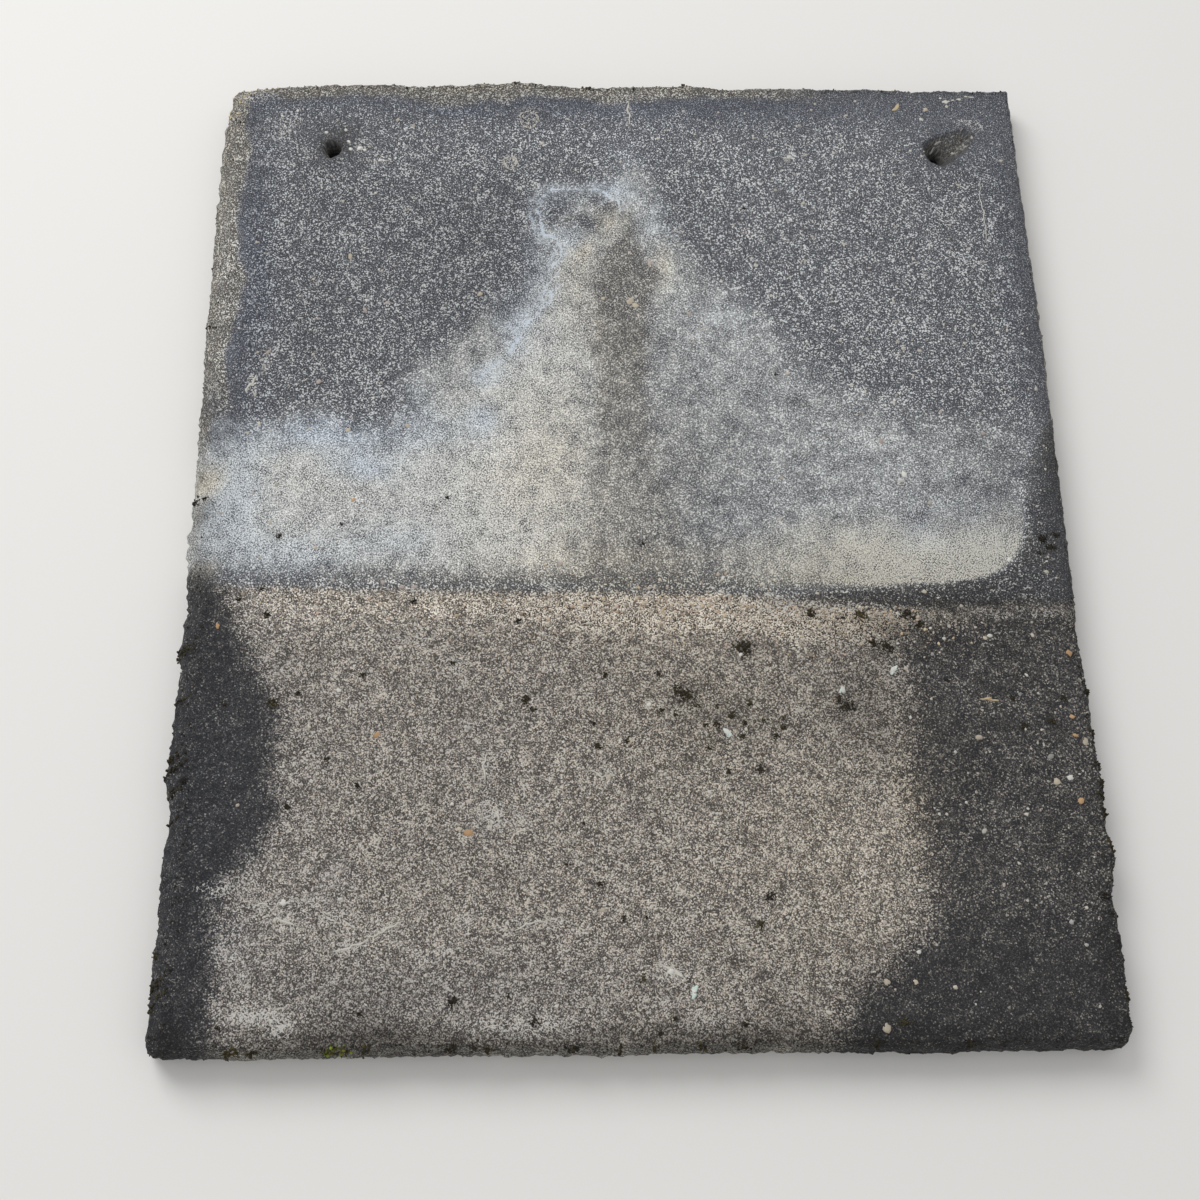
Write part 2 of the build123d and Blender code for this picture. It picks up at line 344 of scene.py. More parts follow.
# Warmer places, and bluer ones with a minus. One is painted shade, as noted above its line.
WARM_PATCHES = [
    (10, -36, 130, 5, 0.9), (-182, -33, 8, 6, 0.8), (116, -125, 10, 28, 0.9), (-184, 52, 6, 8, -1.2),
    (-78, 213, 12, 6, -0.8), (-117, 19, 14, 7, -0.7), (156, 192, 14, 10, -0.8), (-132, 219, 8, 4, -0.8),
    (-25, 136, 6, 6, -0.7), (-160, -186, 8, 10, -0.7), (-64, 44, 8, 8, -0.6), (125, -12, 10, 8, -0.6),
    (5, 219, 8, 4, -0.6), (-118, -164, 8, 8, -0.6), (120, -51, 12, 6, 0.5), (174, -22, 9, 8, 0.7),
    (188, 25, 4, 22, 0.9), (92, -48, 34, 5, 0.3), (-40, 22, 30, 40, 0.4), (100, -24, 55, 12, 0.45),
    (-22, 112, 9, 30, 0.36), (-8, 148, 6, 10, 0.6), (-130, 14, 30, 14, 0.1), (80, -160, 40, 44, 0.4),
    (10, -54, 75, 10, 0.25), (112, -52, 55, 7, 0.5), (-184, 11, 8, 8, 1.0), (-80, -46, 40, 6, 0.3),
    (16, 126, 4, 14, 0.5), (0, -10, 30, 50, 0.25), (60, 225, 140, 4, 0.25), (-90, 225, 70, 4, 0.25),
    # On this line, the bluer patch at (180, 130) is painted shade on the right bevel
    (-169, 120, 8, 90, -0.95), (0, 212, 190, 8, -0.9), (180, 130, 8, 90, -0.5), (-145, 38, 16, 7, -0.55),
    (-120, 33, 18, 7, -0.45), (-96, 50, 10, 14, -0.3), (-52, 94, 8, 16, -0.6), (-62, 66, 8, 6, -0.4),
    (-44, 124, 7, 20, -0.5), (-34, 158, 12, 12, -0.4), (-8, 164, 12, 7, -0.6), (0, 186, 14, 10, -0.4),
    (18, 150, 10, 16, -0.35), (42, 98, 20, 10, -0.16), (-172, 0, 13, 18, -0.25),
    (-145, -23, 26, 8, -0.3), (-100, -18, 16, 9, -0.25), (40, -14, 26, 16, -0.15),
    (110, 20, 60, 30, -0.12), (150, -6, 30, 12, -0.22), (120, -41, 40, 3, 0.1), (-20, 130, 5, 6, 0.6),
    (-152, -130, 28, 70, -0.4), (-90, -208, 80, 18, -0.62), (-182, 110, 8, 90, -0.6),
    (-178, -130, 22, 80, -0.85), (-112, 36, 56, 10, -0.35), (0, -25, 60, 9, 0.5),
    (30, -85, 44, 28, 0.32), (-70, -110, 60, 50, -0.15), (20, -120, 60, 30, 0.15),
    (60, 70, 40, 25, -0.1),
]

# Lighter places, and darker ones with a minus. Some are painted light and shade, as noted above their
# lines.
TONE_LIGHT_AND_SHADE_PATCHES = [
    (-177, 74, 4, 7, 0.46), (-176, 136, 4, 9, 0.38), (-176, -36, 7, 4, 0.36), (115, -118, 7, 8, 0.16),
    # On this line, the band at (10, -222) is painted shade along the tail's rounded arris
    (118, -72, 6, 5, 0.16), (57, -214, 8, 6, -0.26), (10, -222, 190, 4, -0.16),
    (184, -195, 6, 30, -0.28), (-183, -221, 10, 8, -0.34), (-142, -221, 12, 4, -0.2),
    (184, -98, 5, 26, 0.16), (184, -17, 5, 12, 0.14), (-185, 52, 5, 8, -0.24), (107, -54, 6, 4, -0.34),
    (1, 38, 6, 8, -0.24), (-148, -37, 30, 3, 0.16), (-95, -36, 20, 3, 0.16), (31, -170, 9, 9, 0.14),
    (-36, -159, 9, 9, 0.14), (156, 202, 34, 24, 0.07), (110, -50, 30, 8, -0.1), (20, -52, 70, 7, -0.03),
    (179, -4, 10, 42, 0.25), (-38, 205, 2, 2, -0.5), (100, -40, 50, 4, 0.08), (0, 196, 190, 24, 0.18),
    # On this line, the band at (0, -228) is painted shade along the tail's rounded arris
    (0, -228, 190, 4, -0.1), (-141, 176, 12, 9, -0.14), (-142, 85, 14, 36, -0.11),
    (160, 176, 11, 9, -0.14), (122, 216, 14, 6, 0.09), (158, -45, 22, 5, -0.16),
    (162, 15, 10, 14, -0.12), (100, -65, 9, 8, -0.12), (102, -105, 8, 10, -0.12),
    (-40, -207, 120, 10, -0.07), (82, -205, 20, 10, -0.12), (-8, 12, 26, 32, -0.01),
    # On this line, the lighter patch at (-182, 115) is painted light on the left bevel, which faces the
    # light
    (-26, -12, 16, 14, -0.08), (-182, 115, 7, 75, 0.29), (100, -8, 60, 14, 0.04),
    # On this line, the band at (10, -226) is painted shade along the tail's rounded arris
    (85, -160, 36, 34, 0.12), (20, -165, 40, 22, 0.08), (10, -226, 190, 6, -0.38),
    (-80, 140, 80, 60, -0.13), (100, 100, 80, 90, 0.13), (-112, -48, 62, 8, 0.32),
    (-100, 208, 80, 9, -0.06), (80, 210, 110, 8, -0.05), (-169, 130, 8, 90, -0.16),
    # On this line, the darker patch at (181, 130) is painted shade on the right bevel
    (181, 130, 7, 100, -0.1), (150, -208, 50, 24, -0.12), (93, -86, 16, 30, -0.26),
    # On this line, the darker spots at the two nail holes are painted shade in their bores
    (158, 198, 18, 9, -0.08), (-137.4, 187, 3.6, 3.6, -0.5), (149.6, 187, 3.6, 3.6, -0.5),
    (45, -95, 46, 18, -0.14), (-6, 40, 9, 20, -0.08), (4.5, 82, 7, 8, -0.26), (0, 112, 11, 24, -0.08),
    (30, 6, 18, 40, -0.1), (132, -56, 54, 13, -0.22), (112, -76, 16, 16, -0.08),
    (-70, -182, 60, 16, 0.05), (-120, -214, 24, 8, -0.15), (-110, -222, 26, 8, -0.28),
    (40, -222, 22, 8, -0.16), (-130, -60, 40, 14, 0.06), (135, -125, 12, 40, -0.1),
    # On this line and the next, the darker spots at (76, 52), (86, 55), (125, 40) and (118, 64) are
    # painted shade in pits
    (-142, -75, 14, 16, -0.08), (-150, -214, 24, 7, 0.1), (-46, -219, 26, 7, 0.1), (76, 52, 6, 2, -0.3),
    (86, 55, 3, 4, -0.2), (125, 40, 3, 7, -0.2), (118, 64, 3, 2, -0.3), (95, 42, 6, 4, -0.12),
    (66, 66, 6, 4, -0.16), (60, 102, 8, 5, -0.1), (100, 65, 6, 5, -0.12), (-45, 205, 3, 3.2, -0.6),
    (-54, 180, 2.2, 2, -0.6), (-80, 210, 50, 4, -0.06), (122, -42, 34, 3, 0.04),
    (-105, -203, 50, 11, -0.14), (20, -112, 60, 36, 0.05), (90, -155, 20, 26, 0.06),
    (162, -125, 16, 44, -0.08), (-178, -210, 10, 20, -0.08), (-174, -120, 20, 70, -0.1),
    (-100, -225, 40, 5, -0.1), (10, -48, 44, 8, 0.05), (-153, -14, 3, 2, -0.3), (180, -18, 7, 8, -0.16),
    (-173, -50, 10, 12, -0.1), (-184, 30, 8, 16, -0.14), (-185, 55, 6, 12, -0.12),
    (-186, -4, 6, 7, -0.25), (150, -99, 12, 3.5, -0.3), (154, -84, 5, 3, -0.34), (121, -67, 4, 4, -0.25),
    (176, -98, 8, 5, -0.25), (163, -52, 12, 4, -0.18), (140, -120, 10, 12, -0.1), (135, -88, 9, 5, 0.12),
    (160, -72, 12, 8, -0.08), (128, -108, 8, 7, -0.1), (146, -135, 7, 14, 0.1), (172, -145, 8, 12, -0.1),
    # On this line, the lighter patch at (-186, 150) is painted light on the left bevel
    (-186, 150, 6, 90, 0.09), (0, 216, 10, 16, 0.1), (-4, 106, 10, 20, -0.05),
]

# Where lime crusted in fine white ridges
CRUST_PATCHES = [
    (-155, -213.8, 5, 1.8, 0.7), (-147, -215.2, 6, 2.2, 1.0), (-138.5, -219, 4.5, 3, 0.9),
    (-145, -215, 12, 5, 0.26), (-149, -172.3, 6, 1.8, 0.66), (-138.5, -178, 5, 1.8, 0.85),
    (-130, -170.5, 6, 2.2, 0.64), (-121, -177, 5, 2, 0.7), (-165, -165.5, 7.5, 2.4, 0.66),
    (-114, -188.3, 7, 1.8, 0.8), (-100, -181, 5, 2.6, 0.5), (-85, -194.5, 4, 1.8, 0.6),
    (-77, -190, 3, 1.4, 0.6), (-69, -178.7, 4, 2, 0.64), (-160, -192, 4, 1.6, 0.48),
    (-156, -200, 5, 3, 0.44), (-130, -182, 34, 14, 0.12), (-84, -150, 50, 40, 0.07),
    (-46, -219, 22, 3.6, 0.62), (25, -217, 7, 4, 0.46), (8, -211, 4, 3, 0.36), (-40, -180, 13, 2.2, 0.4),
    (-59, -136, 4, 5, 0.72), (-62, -118, 1.8, 10, 0.46), (10, -199, 5, 3.5, 0.8),
    (-48, -138, 4, 3, 0.34), (-12, -120, 3, 3, 0.4), (-76, -73, 4, 5, 0.4), (-36, -37, 3.6, 3.4, 0.5),
    (-167, 60, 1.6, 4.5, 0.85), (-117, 180.2, 6, 1.0, 0.75), (166, 206, 5, 2, 0.36),
    (171, 203, 2.6, 2.6, 0.4), (-124.5, 187, 1.8, 1.6, 0.6), (-163, 197, 8, 8, 0.24),
    (-158, 204, 6, 4, 0.18), (-177.4, 182, 0.7, 26, 0.26), (-165, 179.6, 9, 0.8, 0.42),
    (-163, 177, 7, 0.8, 0.36), (79, 183, 2.8, 2.6, 0.62), (-162, 72, 2.6, 7, 0.3),
    (2.5, 208, 1.4, 9, 0.4), (88, -48, 20, 2.6, 0.55), (116, -52, 8, 3.4, 0.55),
    (160, -50, 22, 2.6, 0.3), (-45, 206, 6, 6, 0.3), (-54, 180, 4.6, 4.6, 0.26),
    (-100, -60, 14, 3, 0.22), (-90, -61, 7, 2, 0.3), (118, 12, 3, 2, 0.55), (-93, -38, 2.2, 1.6, 0.5),
    (47, -178, 4, 3, 0.36), (-179, 217, 10, 3, 0.55), (62, -47, 14, 2.4, 0.6),
]

# Where light grains are scarce
SMOOTH_PATCHES = [
    (158, 200, 36, 26, 0.85), (-134, 190, 20, 14, 0.45), (90, 213, 80, 9, 0.6), (-40, 211, 70, 9, 0.5),
    (140, 2, 50, 22, 0.35), (60, 205, 50, 16, 0.3),
]

# Dirt round the moss; painted shade in the nail holes' bores and under the undercut lower rim of
# the scar beside the right hole; and darker above the left hole's mouth
DIRT_AND_SHADE_PATCHES = [
    (45, -66, 7, 7, 0.36), (21, -86, 7, 6, 0.3), (87, -91, 6, 6, 0.25), (106, -65, 7, 6, 0.25),
    (40, -97, 13, 8, 0.18), (118, -53, 9, 5, 0.35), (96, -51, 5, 3, 0.3), (75, -50, 4, 3, 0.25),
    # On this line, the patch at (-137.4, 189) is painted shade in the left hole's bore, and the one at
    # (-137, 191) is darker above its mouth
    (180, -17, 7, 6, 0.3), (-137.4, 189, 6, 6, 0.8), (-137, 191, 13, 10, 0.34), (-132, 197, 6, 3, 0.45),
    (150, -99, 14, 4, 0.34), (154, -84, 5, 3.4, 0.36), (121, -67, 5, 5, 0.3), (176, -98, 9, 6, 0.32),
    (134, -50, 34, 3.4, 0.22), (163, -52, 12, 5, 0.3), (128, -100, 10, 16, 0.16),
    # On this line and the next, the patch at (149.6, 187.5) is painted shade in the right hole's bore,
    # and the thin one at (156, 182.8) is painted shadow under the scar's undercut lower rim
    (130, -160, 24, 22, 0.12), (112, -118, 8, 10, 0.12), (149.6, 187.5, 6, 5.5, 0.9),
    (156, 182.8, 5.5, 0.9, 0.85), (170, 201, 5, 3, 0.2),
]

# Grit along the lap line
GRIT_PATCHES = [
    (14, -50, 58, 30, 0.8), (104, -54, 42, 9, 0.9),
]

# The pale weathered strip down the covered part of the left side, whose bevel the tone patches
# also paint lighter where it faces the light, and the band along the head
STRIP_FROM, STRIP_TO = -175.6, -179
HEAD_BAND = 218.5


def reach_inside(outline, x, y):
    """Distance to the nearest of the outline's straight pieces, counted as minus outside it. A
    point is inside if a line from it to the right crosses the outline an odd number of times."""
    places = np.stack([x, y], axis=1)
    outline = np.array(outline, float)
    nearest = np.full(len(x), np.inf)
    inside = np.zeros(len(x), bool)
    for start, end in zip(outline, np.roll(outline, -1, axis=0)):
        run = end - start
        share = np.clip((places - start) @ run / (run @ run), 0, 1)
        off = places - start - share[:, None] * run
        nearest = np.minimum(nearest, np.hypot(off[:, 0], off[:, 1]))
        if start[1] != end[1]:
            crossing = start[0] + run[0] * (y - start[1]) / run[1]
            inside ^= ((start[1] > y) != (end[1] > y)) & (x < crossing)
    return np.where(inside, nearest, -nearest)


def patches(spots, x, y):
    """The sum of soft patches, each its amount times exp(-(across^2 + along^2)) in reaches."""
    return sum(
        amount * np.exp(-(((x - spot_x) / reach_x) ** 2) - ((y - spot_y) / reach_y) ** 2)
        for spot_x, spot_y, reach_x, reach_y, amount in spots
    )


def stains(places):
    """The stains at each point, and the light and shade painted with them: its place is first pushed
    about by unevenness at three scales, so that every border wanders, then measured against the
    outlines and patches above."""
    x, y, z = places.T
    flat = places * [1, 1, 0]
    drift_x, drift_y = unevenness(flat, 50, 21), unevenness(flat, 50, 23)
    soft_x = x + drift_x + 0.8 * unevenness(flat, 16, 22)
    soft_y = y + drift_y + 0.8 * unevenness(flat, 16, 24)
    lace_x = soft_x + 0.8 * unevenness(flat, 6, 25)
    lace_y = soft_y + 0.8 * unevenness(flat, 6, 26)
    lap = above_lap(x, y) + 0.5 * unevenness(flat, 20, 27)

    # Lime fades towards the border of the bloom, under the joint and near the lap line
    in_bloom = reach_inside(LIME_EDGE, lace_x, lace_y)
    joint = smoothstep(-3, 4, reach_inside(JOINT_EDGE, lace_x, lace_y))
    joint = joint * (0.35 + 0.65 * smoothstep(14, 80, y))
    lime = np.interp(soft_x, *zip(*LIME_ACROSS)) + patches(LIME_PATCHES, soft_x, soft_y)
    lime = lime * (0.5 * smoothstep(-8, 8, in_bloom) + 0.5 * smoothstep(2, 18, in_bloom))
    lime = lime * (1 - (0.35 + 0.25 * smoothstep(88, 112, y)) * joint)
    lime = lime * (0.10 + 0.90 * smoothstep(0, 15, lap)) * smoothstep(-1, 3, lap)

    # Pale silt lies in the bloom's lower right corner, up to the notch of the film
    in_notch = reach_inside(NOTCH_FILM_EDGE, x + 0.5 * drift_x, y + 0.3 * drift_y)
    silt = smoothstep(4, -27, soft_y + 0.05 * (105 - x)) * smoothstep(28, 122, soft_x)
    silt = silt * (0.98 + 0.14 * unevenness(flat, 16, 28) + 0.08 * unevenness(flat, 7, 29))
    silt = silt * smoothstep(0, 1.5 + 6 * smoothstep(105, 60, x), -in_notch)
    silt = silt * smoothstep(-41, -35, y)

    # The film is as dark as the darkest of its three parts
    left_film = 0.98 * smoothstep(-11, 9, reach_inside(LEFT_FILM_EDGE, soft_x, soft_y))
    right_film = smoothstep(-13, 13, reach_inside(RIGHT_FILM_EDGE, soft_x, soft_y))
    right_film = right_film * (0.81 + 0.16 * smoothstep(-168, -196, y))
    notch_film = (0.68 + 0.12 * (x < 155)) * smoothstep(-1.0 - 1.4 * (x < 150), 3.0, in_notch)
    notch_film = notch_film * (0.70 + 0.30 * smoothstep(60, 105, x))
    film = np.maximum.reduce([left_film, right_film, notch_film])

    grit_edge = lap + 5.5 * smoothstep(40, 75, x)
    grit = smoothstep(2, -3, grit_edge) * smoothstep(-26, -7, grit_edge)
    grit = grit * (0.30 * smoothstep(175, 125, x) + patches(GRIT_PATCHES, x, y))
    # The scar beside the right hole is also darker wherever it lies more than about a millimetre deep
    dirt = patches(DIRT_AND_SHADE_PATCHES, x, y) + 0.70 * smoothstep(0.1, 1.2, spall_depth(x, y))

    # The weathered strip and band count as edge, which is bare stone all round the slab
    strip = smoothstep(STRIP_FROM, STRIP_TO, soft_x) * smoothstep(34, 56, y)
    head_band = HEAD_BAND - 5 * np.exp(-(((x + 76) / 34) ** 2)) - 3 * np.exp(-(((x - 2) / 22) ** 2))
    head_band = smoothstep(-2.5, 2, soft_y - head_band) * smoothstep(115, 55, x)
    strip = np.maximum(strip, 0.9 * head_band)
    dark_head = smoothstep(60, 110, x) * smoothstep(200, 214, y) * smoothstep(9, 14, z)
    edge = np.maximum((1 - smoothstep(16.4, 17.8, z)) * (1 - 0.75 * dark_head), strip)
    inland = smoothstep(-5, 18, np.minimum(np.minimum(x + 178, 186 - x), 219 - y))
    tone = (1 + patches(TONE_LIGHT_AND_SHADE_PATCHES, soft_x, soft_y)) * (1 - 0.13 * (1 - inland) * (1 - edge))
    speckled = inland * (1 - 0.20 * smoothstep(150, 200, y))
    speckled = speckled * (1 - np.clip(patches(SMOOTH_PATCHES, x, y), 0, 0.9))
    return {
        "uncovered": smoothstep(3, -3, lap),
        "lime": lime,
        "line": np.clip(reach_inside(TIDE_EDGE, soft_x, soft_y), -60, 60),
        "tide": np.clip(patches(TIDE_PATCHES, x, y), 0, 1),
        "joint": joint,
        "film": film,
        "silt": silt,
        "dirt": np.clip(dirt, 0, 1),
        "grit": np.clip(grit, 0, 1) * (1 - 0.5 * film),
        "crust": np.clip(patches(CRUST_PATCHES, x, y), 0, 1) * (z > 16),
        "warm": patches(WARM_PATCHES, soft_x, soft_y),
        "tone": tone,
        "speckled": speckled * (1 - 0.30 * smoothstep(-5, 15, in_bloom)),
        "edge": edge,
    }


# Points of the face: a lattice over its rectangle, whose border is moved out to the rim, and the
# move fades away inwards as (1 - s)^7
share_across, share_along = np.meshgrid(
    np.linspace(0, 1, CELLS_ACROSS + 1), np.linspace(0, 1, CELLS_ALONG + 1), indexing="ij"
)
flat_x = FACE_LEFT + (FACE_RIGHT - FACE_LEFT) * share_across
flat_y = FACE_TAIL + (FACE_HEAD - FACE_TAIL) * share_along
border = around(0, CELLS_ACROSS, 0, CELLS_ALONG)
bearings = np.arctan2(flat_y[border], flat_x[border])
outward = np.stack([np.cos(bearings), np.sin(bearings), np.zeros_like(bearings)], axis=1)

# Rings down the edge: reach and height run straight from rim to rim, and a three-point average
# along the profile rounds the arrises. The break of the stone moves each point in and out.
corners = points_of(solid.data)
rims = np.array([rim_reach(corners, height, bearings) for height in RIM_HEIGHTS])
steps = np.concatenate([[0], np.cumsum(RINGS_BETWEEN_RIMS)])
ring_numbers = np.arange(steps[-1] + 1)
reaches = np.array([np.interp(ring_numbers, steps, column) for column in rims.T]).T
heights = np.interp(ring_numbers, steps, RIM_HEIGHTS)
heights[0] = FACE_HEIGHT - TOP_RING_DROP
for _ in range(2):
    reaches[1:-1] = (reaches[:-2] + 2 * reaches[1:-1] + reaches[2:]) / 4
    heights[1:-1] = (heights[:-2] + 2 * heights[1:-1] + heights[2:]) / 4
rings = []
for reach, height in zip(reaches, heights):
    places = outward * reach[:, None] + [0, 0, height]
    bitten = np.clip(unevenness(places, 12, 11) - 0.9, 0, None)
    rough = 0.24 * unevenness(places, 6, 12) + 0.32 * unevenness(places, 2.8, 13) - 0.50 * bitten
    fading = edge_roughness(places) * (1 if height > 0.5 else 0.3)
    places += outward * (fading * rough)[:, None]
    if 0.5 < height < FACE_HEIGHT - 0.5:
        places[:, 2] = np.clip(places[:, 2] + 0.3 * unevenness(places, 4, 14), 0.2, None)
    rings.append(places)

moved = []
for axis, flat in enumerate((flat_x, flat_y)):
    move = np.zeros_like(flat)
    move[border] = rings[0][:, axis] - flat[border]
    left, right = (1 - share_across) ** BORDER_FADE, share_across**BORDER_FADE
    tail, head = (1 - share_along) ** BORDER_FADE, share_along**BORDER_FADE
    moved.append(
        flat + (
            left * move[:1] + right * move[-1:] + tail * move[:, :1] + head * move[:, -1:]
            - left * tail * move[0, 0] - left * head * move[0, -1]
            - right * tail * move[-1, 0] - right * head * move[-1, -1]
        )
    )
face_x, face_y = moved
face_points = np.column_stack([face_x.ravel(), face_y.ravel()])
face_points = np.column_stack([face_points, face_height(*face_points.T)])

skin = Skin()
face = skin.lay(face_points).reshape(face_x.shape)
ring = face[border]
for places in rings[1:]:
    lower = skin.lay(places)
    skin.strip(lower, ring)
    ring = lower

# The bed is plain and flat. Two rows of pentagons take its border to a lattice a quarter as fine.
bed_x, bed_y = face_x[::COARSER, ::COARSER], face_y[::COARSER, ::COARSER]
bed = skin.lay(bed_x.ravel(), bed_y.ravel(), np.zeros(bed_x.size)).reshape(bed_x.shape)
bed_border = bed[around(0, CELLS_ACROSS // COARSER, 0, CELLS_ALONG // COARSER)]
middle_ring = skin.lay((rings[-1][::2] + face_points[face[border]][::2]) / 2 * [1, 1, 0])
skin.gather(ring, middle_ring, downward=True)
skin.gather(middle_ring, bed_border, downward=True)

# The nail holes: from a window in the lattice, rings close in on the hole, run down the bore and
# open again on the bed
windows, bed_windows = [], []
for side, (hole_x, hole_y) in NAIL_HOLES.items():
    before, after, below, above = WINDOW_CELLS[side]
    column = (hole_x - FACE_LEFT) / (FACE_RIGHT - FACE_LEFT) * CELLS_ACROSS
    row = (hole_y - FACE_TAIL) / (FACE_HEAD - FACE_TAIL) * CELLS_ALONG
    column, row = (COARSER * round(number / COARSER) for number in (column, row))
    windows.append((column - before, column + after, row - below, row + above))
    bed_windows.append([number // COARSER for number in windows[-1]])
    ring = face[around(*windows[-1])]
    start = face_points[ring][:, :2]
    to_hole = np.array([hole_x, hole_y]) - start
    distance = np.linalg.norm(to_hole, axis=1, keepdims=True)
    for step in range(1, RINGS_TO_MOUTH + 1):
        closeness = 1 - (1 - step / RINGS_TO_MOUTH) ** RING_CROWDING
        places = start + to_hole * closeness * (1 - HOLE_RADIUS / distance)
        height = face_height(*places.T)
        inner = skin.lay(places, height)
        skin.strip(ring, inner)
        ring = inner
    for step in range(1, RINGS_DOWN_BORE + 1):
        inner = skin.lay(places, height * (1 - step / RINGS_DOWN_BORE))
        skin.strip(ring, inner)
        ring = inner
    flare = 0.7 * places[::2] + 0.3 * start[::2]
    halfway_out = skin.lay(flare, np.zeros(len(flare)))
    skin.gather(ring, halfway_out)
    skin.gather(halfway_out, bed[around(*bed_windows[-1])])
skin.cells(face, windows)
skin.cells(bed, bed_windows, downward=True)


class Shade:
    """A socket of a material's nodes, on which sums are written as plain sums. Each sum adds a
    Math node, or a Vector Math node where a colour or a place takes part."""

    def __init__(self, tree, socket=None):
        self.tree = tree
        self.socket = socket

    def node(self, kind, settings={}, inputs={}, output=0):
        """One output of a new node, its settings made first and then its sockets."""
        node = self.tree.nodes.new(kind)
        for name, setting in settings.items():
            if name == "stops":
                for place, _ in setting[1:-1]:
                    node.color_ramp.elements.new(place)
                for element, (place, colour) in zip(node.color_ramp.elements, setting):
                    element.position = place
                    element.color = (*colour, 1)
            else:
                setattr(node, name, setting)
        for name, value in inputs.items():
            socket = node.inputs[name]
            if isinstance(value, Shade):
                self.tree.links.new(value.socket, socket)
            elif socket.type == "RGBA":
                socket.default_value = (*value, 1)
            elif socket.type == "VECTOR" and not isinstance(value, tuple):
                socket.default_value = (value, value, value)
            else:
                socket.default_value = value
        return Shade(self.tree, node.outputs[output])

    def maths(self, operation, *values):
        """A Vector Math node where a value is a colour or a place, and else a Math node."""
        on_vectors = any(
            isinstance(value, tuple) or isinstance(value, Shade) and value.socket.type != "VALUE"
            for value in values
        )
        kind = "ShaderNodeVectorMath" if on_vectors else "ShaderNodeMath"
        return self.node(kind, {"operation": operation}, dict(enumerate(values)))

    def __add__(self, other):
        return self.maths("ADD", self, other)

    def __radd__(self, other):
        return self.maths("ADD", other, self)

    def __sub__(self, other):
        return self.maths("SUBTRACT", self, other)

    def __rsub__(self, other):
        return self.maths("SUBTRACT", other, self)

    def __mul__(self, other):
        return self.maths("MULTIPLY", self, other)

    def __rmul__(self, other):
        return self.maths("MULTIPLY", other, self)

    def __abs__(self):
        return self.maths("ABSOLUTE", self)

    def most(self, other):
        """The greater of this and the other."""
        return self.maths("MAXIMUM", self, other)

    def held(self, low, high):
        """This value, kept from low to high."""
        return self.maths("MINIMUM", self, high).most(low)

    def step(self, low, high):
        """0 at low and past it, 1 at high and past it, with a smooth step between them."""
        inputs = {"Value": self, "From Min": low, "From Max": high}
        return self.node("ShaderNodeMapRange", {"interpolation_type": "SMOOTHSTEP"}, inputs)

    def between(self, first, last):
        """The first colour where this is 0, the last where it is 1, and a mix between."""
        return self.node("ShaderNodeMix", {"data_type": "RGBA"}, {0: self, 6: first, 7: last}, 2)

    def ramp(self, stops):
        """The colour that stands at this value on a row of places and colours."""
        return self.node("ShaderNodeValToRGB", {"stops": stops}, {0: self})

    def channel(self, number):
        """One channel of this colour: 0 red, 1 green, 2 blue."""
        return self.node("ShaderNodeSeparateColor", {}, {0: self}, number)

    def noise(self, size, detail, output=0):
        """Noise on this place, with features of the given size in millimetres."""
        inputs = {"Vector": self, "Scale": 1 / size, "Detail": detail, "Roughness": 0.55}
        return self.node("ShaderNodeTexNoise", {"noise_dimensions": "2D"}, inputs, output)

    def stones(self, size, feature="F1", output=0):
        """Cells round scattered points, of the given size in millimetres: by output, the
        distance from a cell's middle or edge in cells, or a random colour for each cell."""
        inputs = {"Vector": self, "Scale": 1 / size}
        settings = {"voronoi_dimensions": "2D", "feature": feature}
        return self.node("ShaderNodeTexVoronoi", settings, inputs, output)

    def feed(self, shader, socket_name):
        """Links this to a socket of the shader."""
        self.tree.links.new(self.socket, shader.inputs[socket_name])


def shown(*channels):
    """Light shares of a colour given as it shows on a screen, 0 to 255 a channel: each is
    ((c + 0.055) / 1.055) ^ 2.4 of its share c."""
    return tuple(((channel / 255 + 0.055) / 1.055) ** 2.4 for channel in channels)


def new_material(name):
    """A dull material: itself, its shader, a Shade that starts its nodes, and the place on the
    piece in millimetres."""
    material = bpy.data.materials.new(name)
    material.use_nodes = True
    shader = material.node_tree.nodes["Principled BSDF"]
    shader.inputs["Specular IOR Level"].default_value = 0.3
    nodes = Shade(material.node_tree)
    return material, shader, nodes, nodes.node("ShaderNodeTexCoord", output=3) * (1 / MM)


def new_object(name, data):
    """An object of the scene that holds the given mesh, lamp or camera."""
    new = bpy.data.objects.new(name, data)
    bpy.context.scene.collection.objects.link(new)
    return new


# Colours of the stone from its darkest grain to its lightest: where it lay covered, where it is
# bare, and under the film. Then the hues by which single grains differ.
COVERED_STONE = [
    (0.0, shown(66, 67, 72)), (0.25, shown(92, 94, 99)), (0.5, shown(120, 122, 126)),
    (0.75, shown(157, 160, 163)), (1.0, shown(206, 208, 208)),
]
BARE_STONE = [
    (0.0, shown(82, 78, 74)), (0.25, shown(118, 113, 107)), (0.5, shown(152, 145, 137)),
    (0.75, shown(184, 176, 166)), (1.0, shown(218, 211, 200)),
]
ALGAE_FILM = [
    (0.0, shown(43, 43, 46)), (0.3, shown(60, 60, 62)), (0.6, shown(80, 79, 78)),
    (1.0, shown(152, 148, 141)),
]
GRAIN_HUES = [
    (0.0, (1.06, 0.98, 0.95)), (0.2, (1.0, 1.0, 1.0)), (0.8, (0.98, 1.0, 1.02)),
    (1.0, (1.06, 1.01, 0.92)),
]

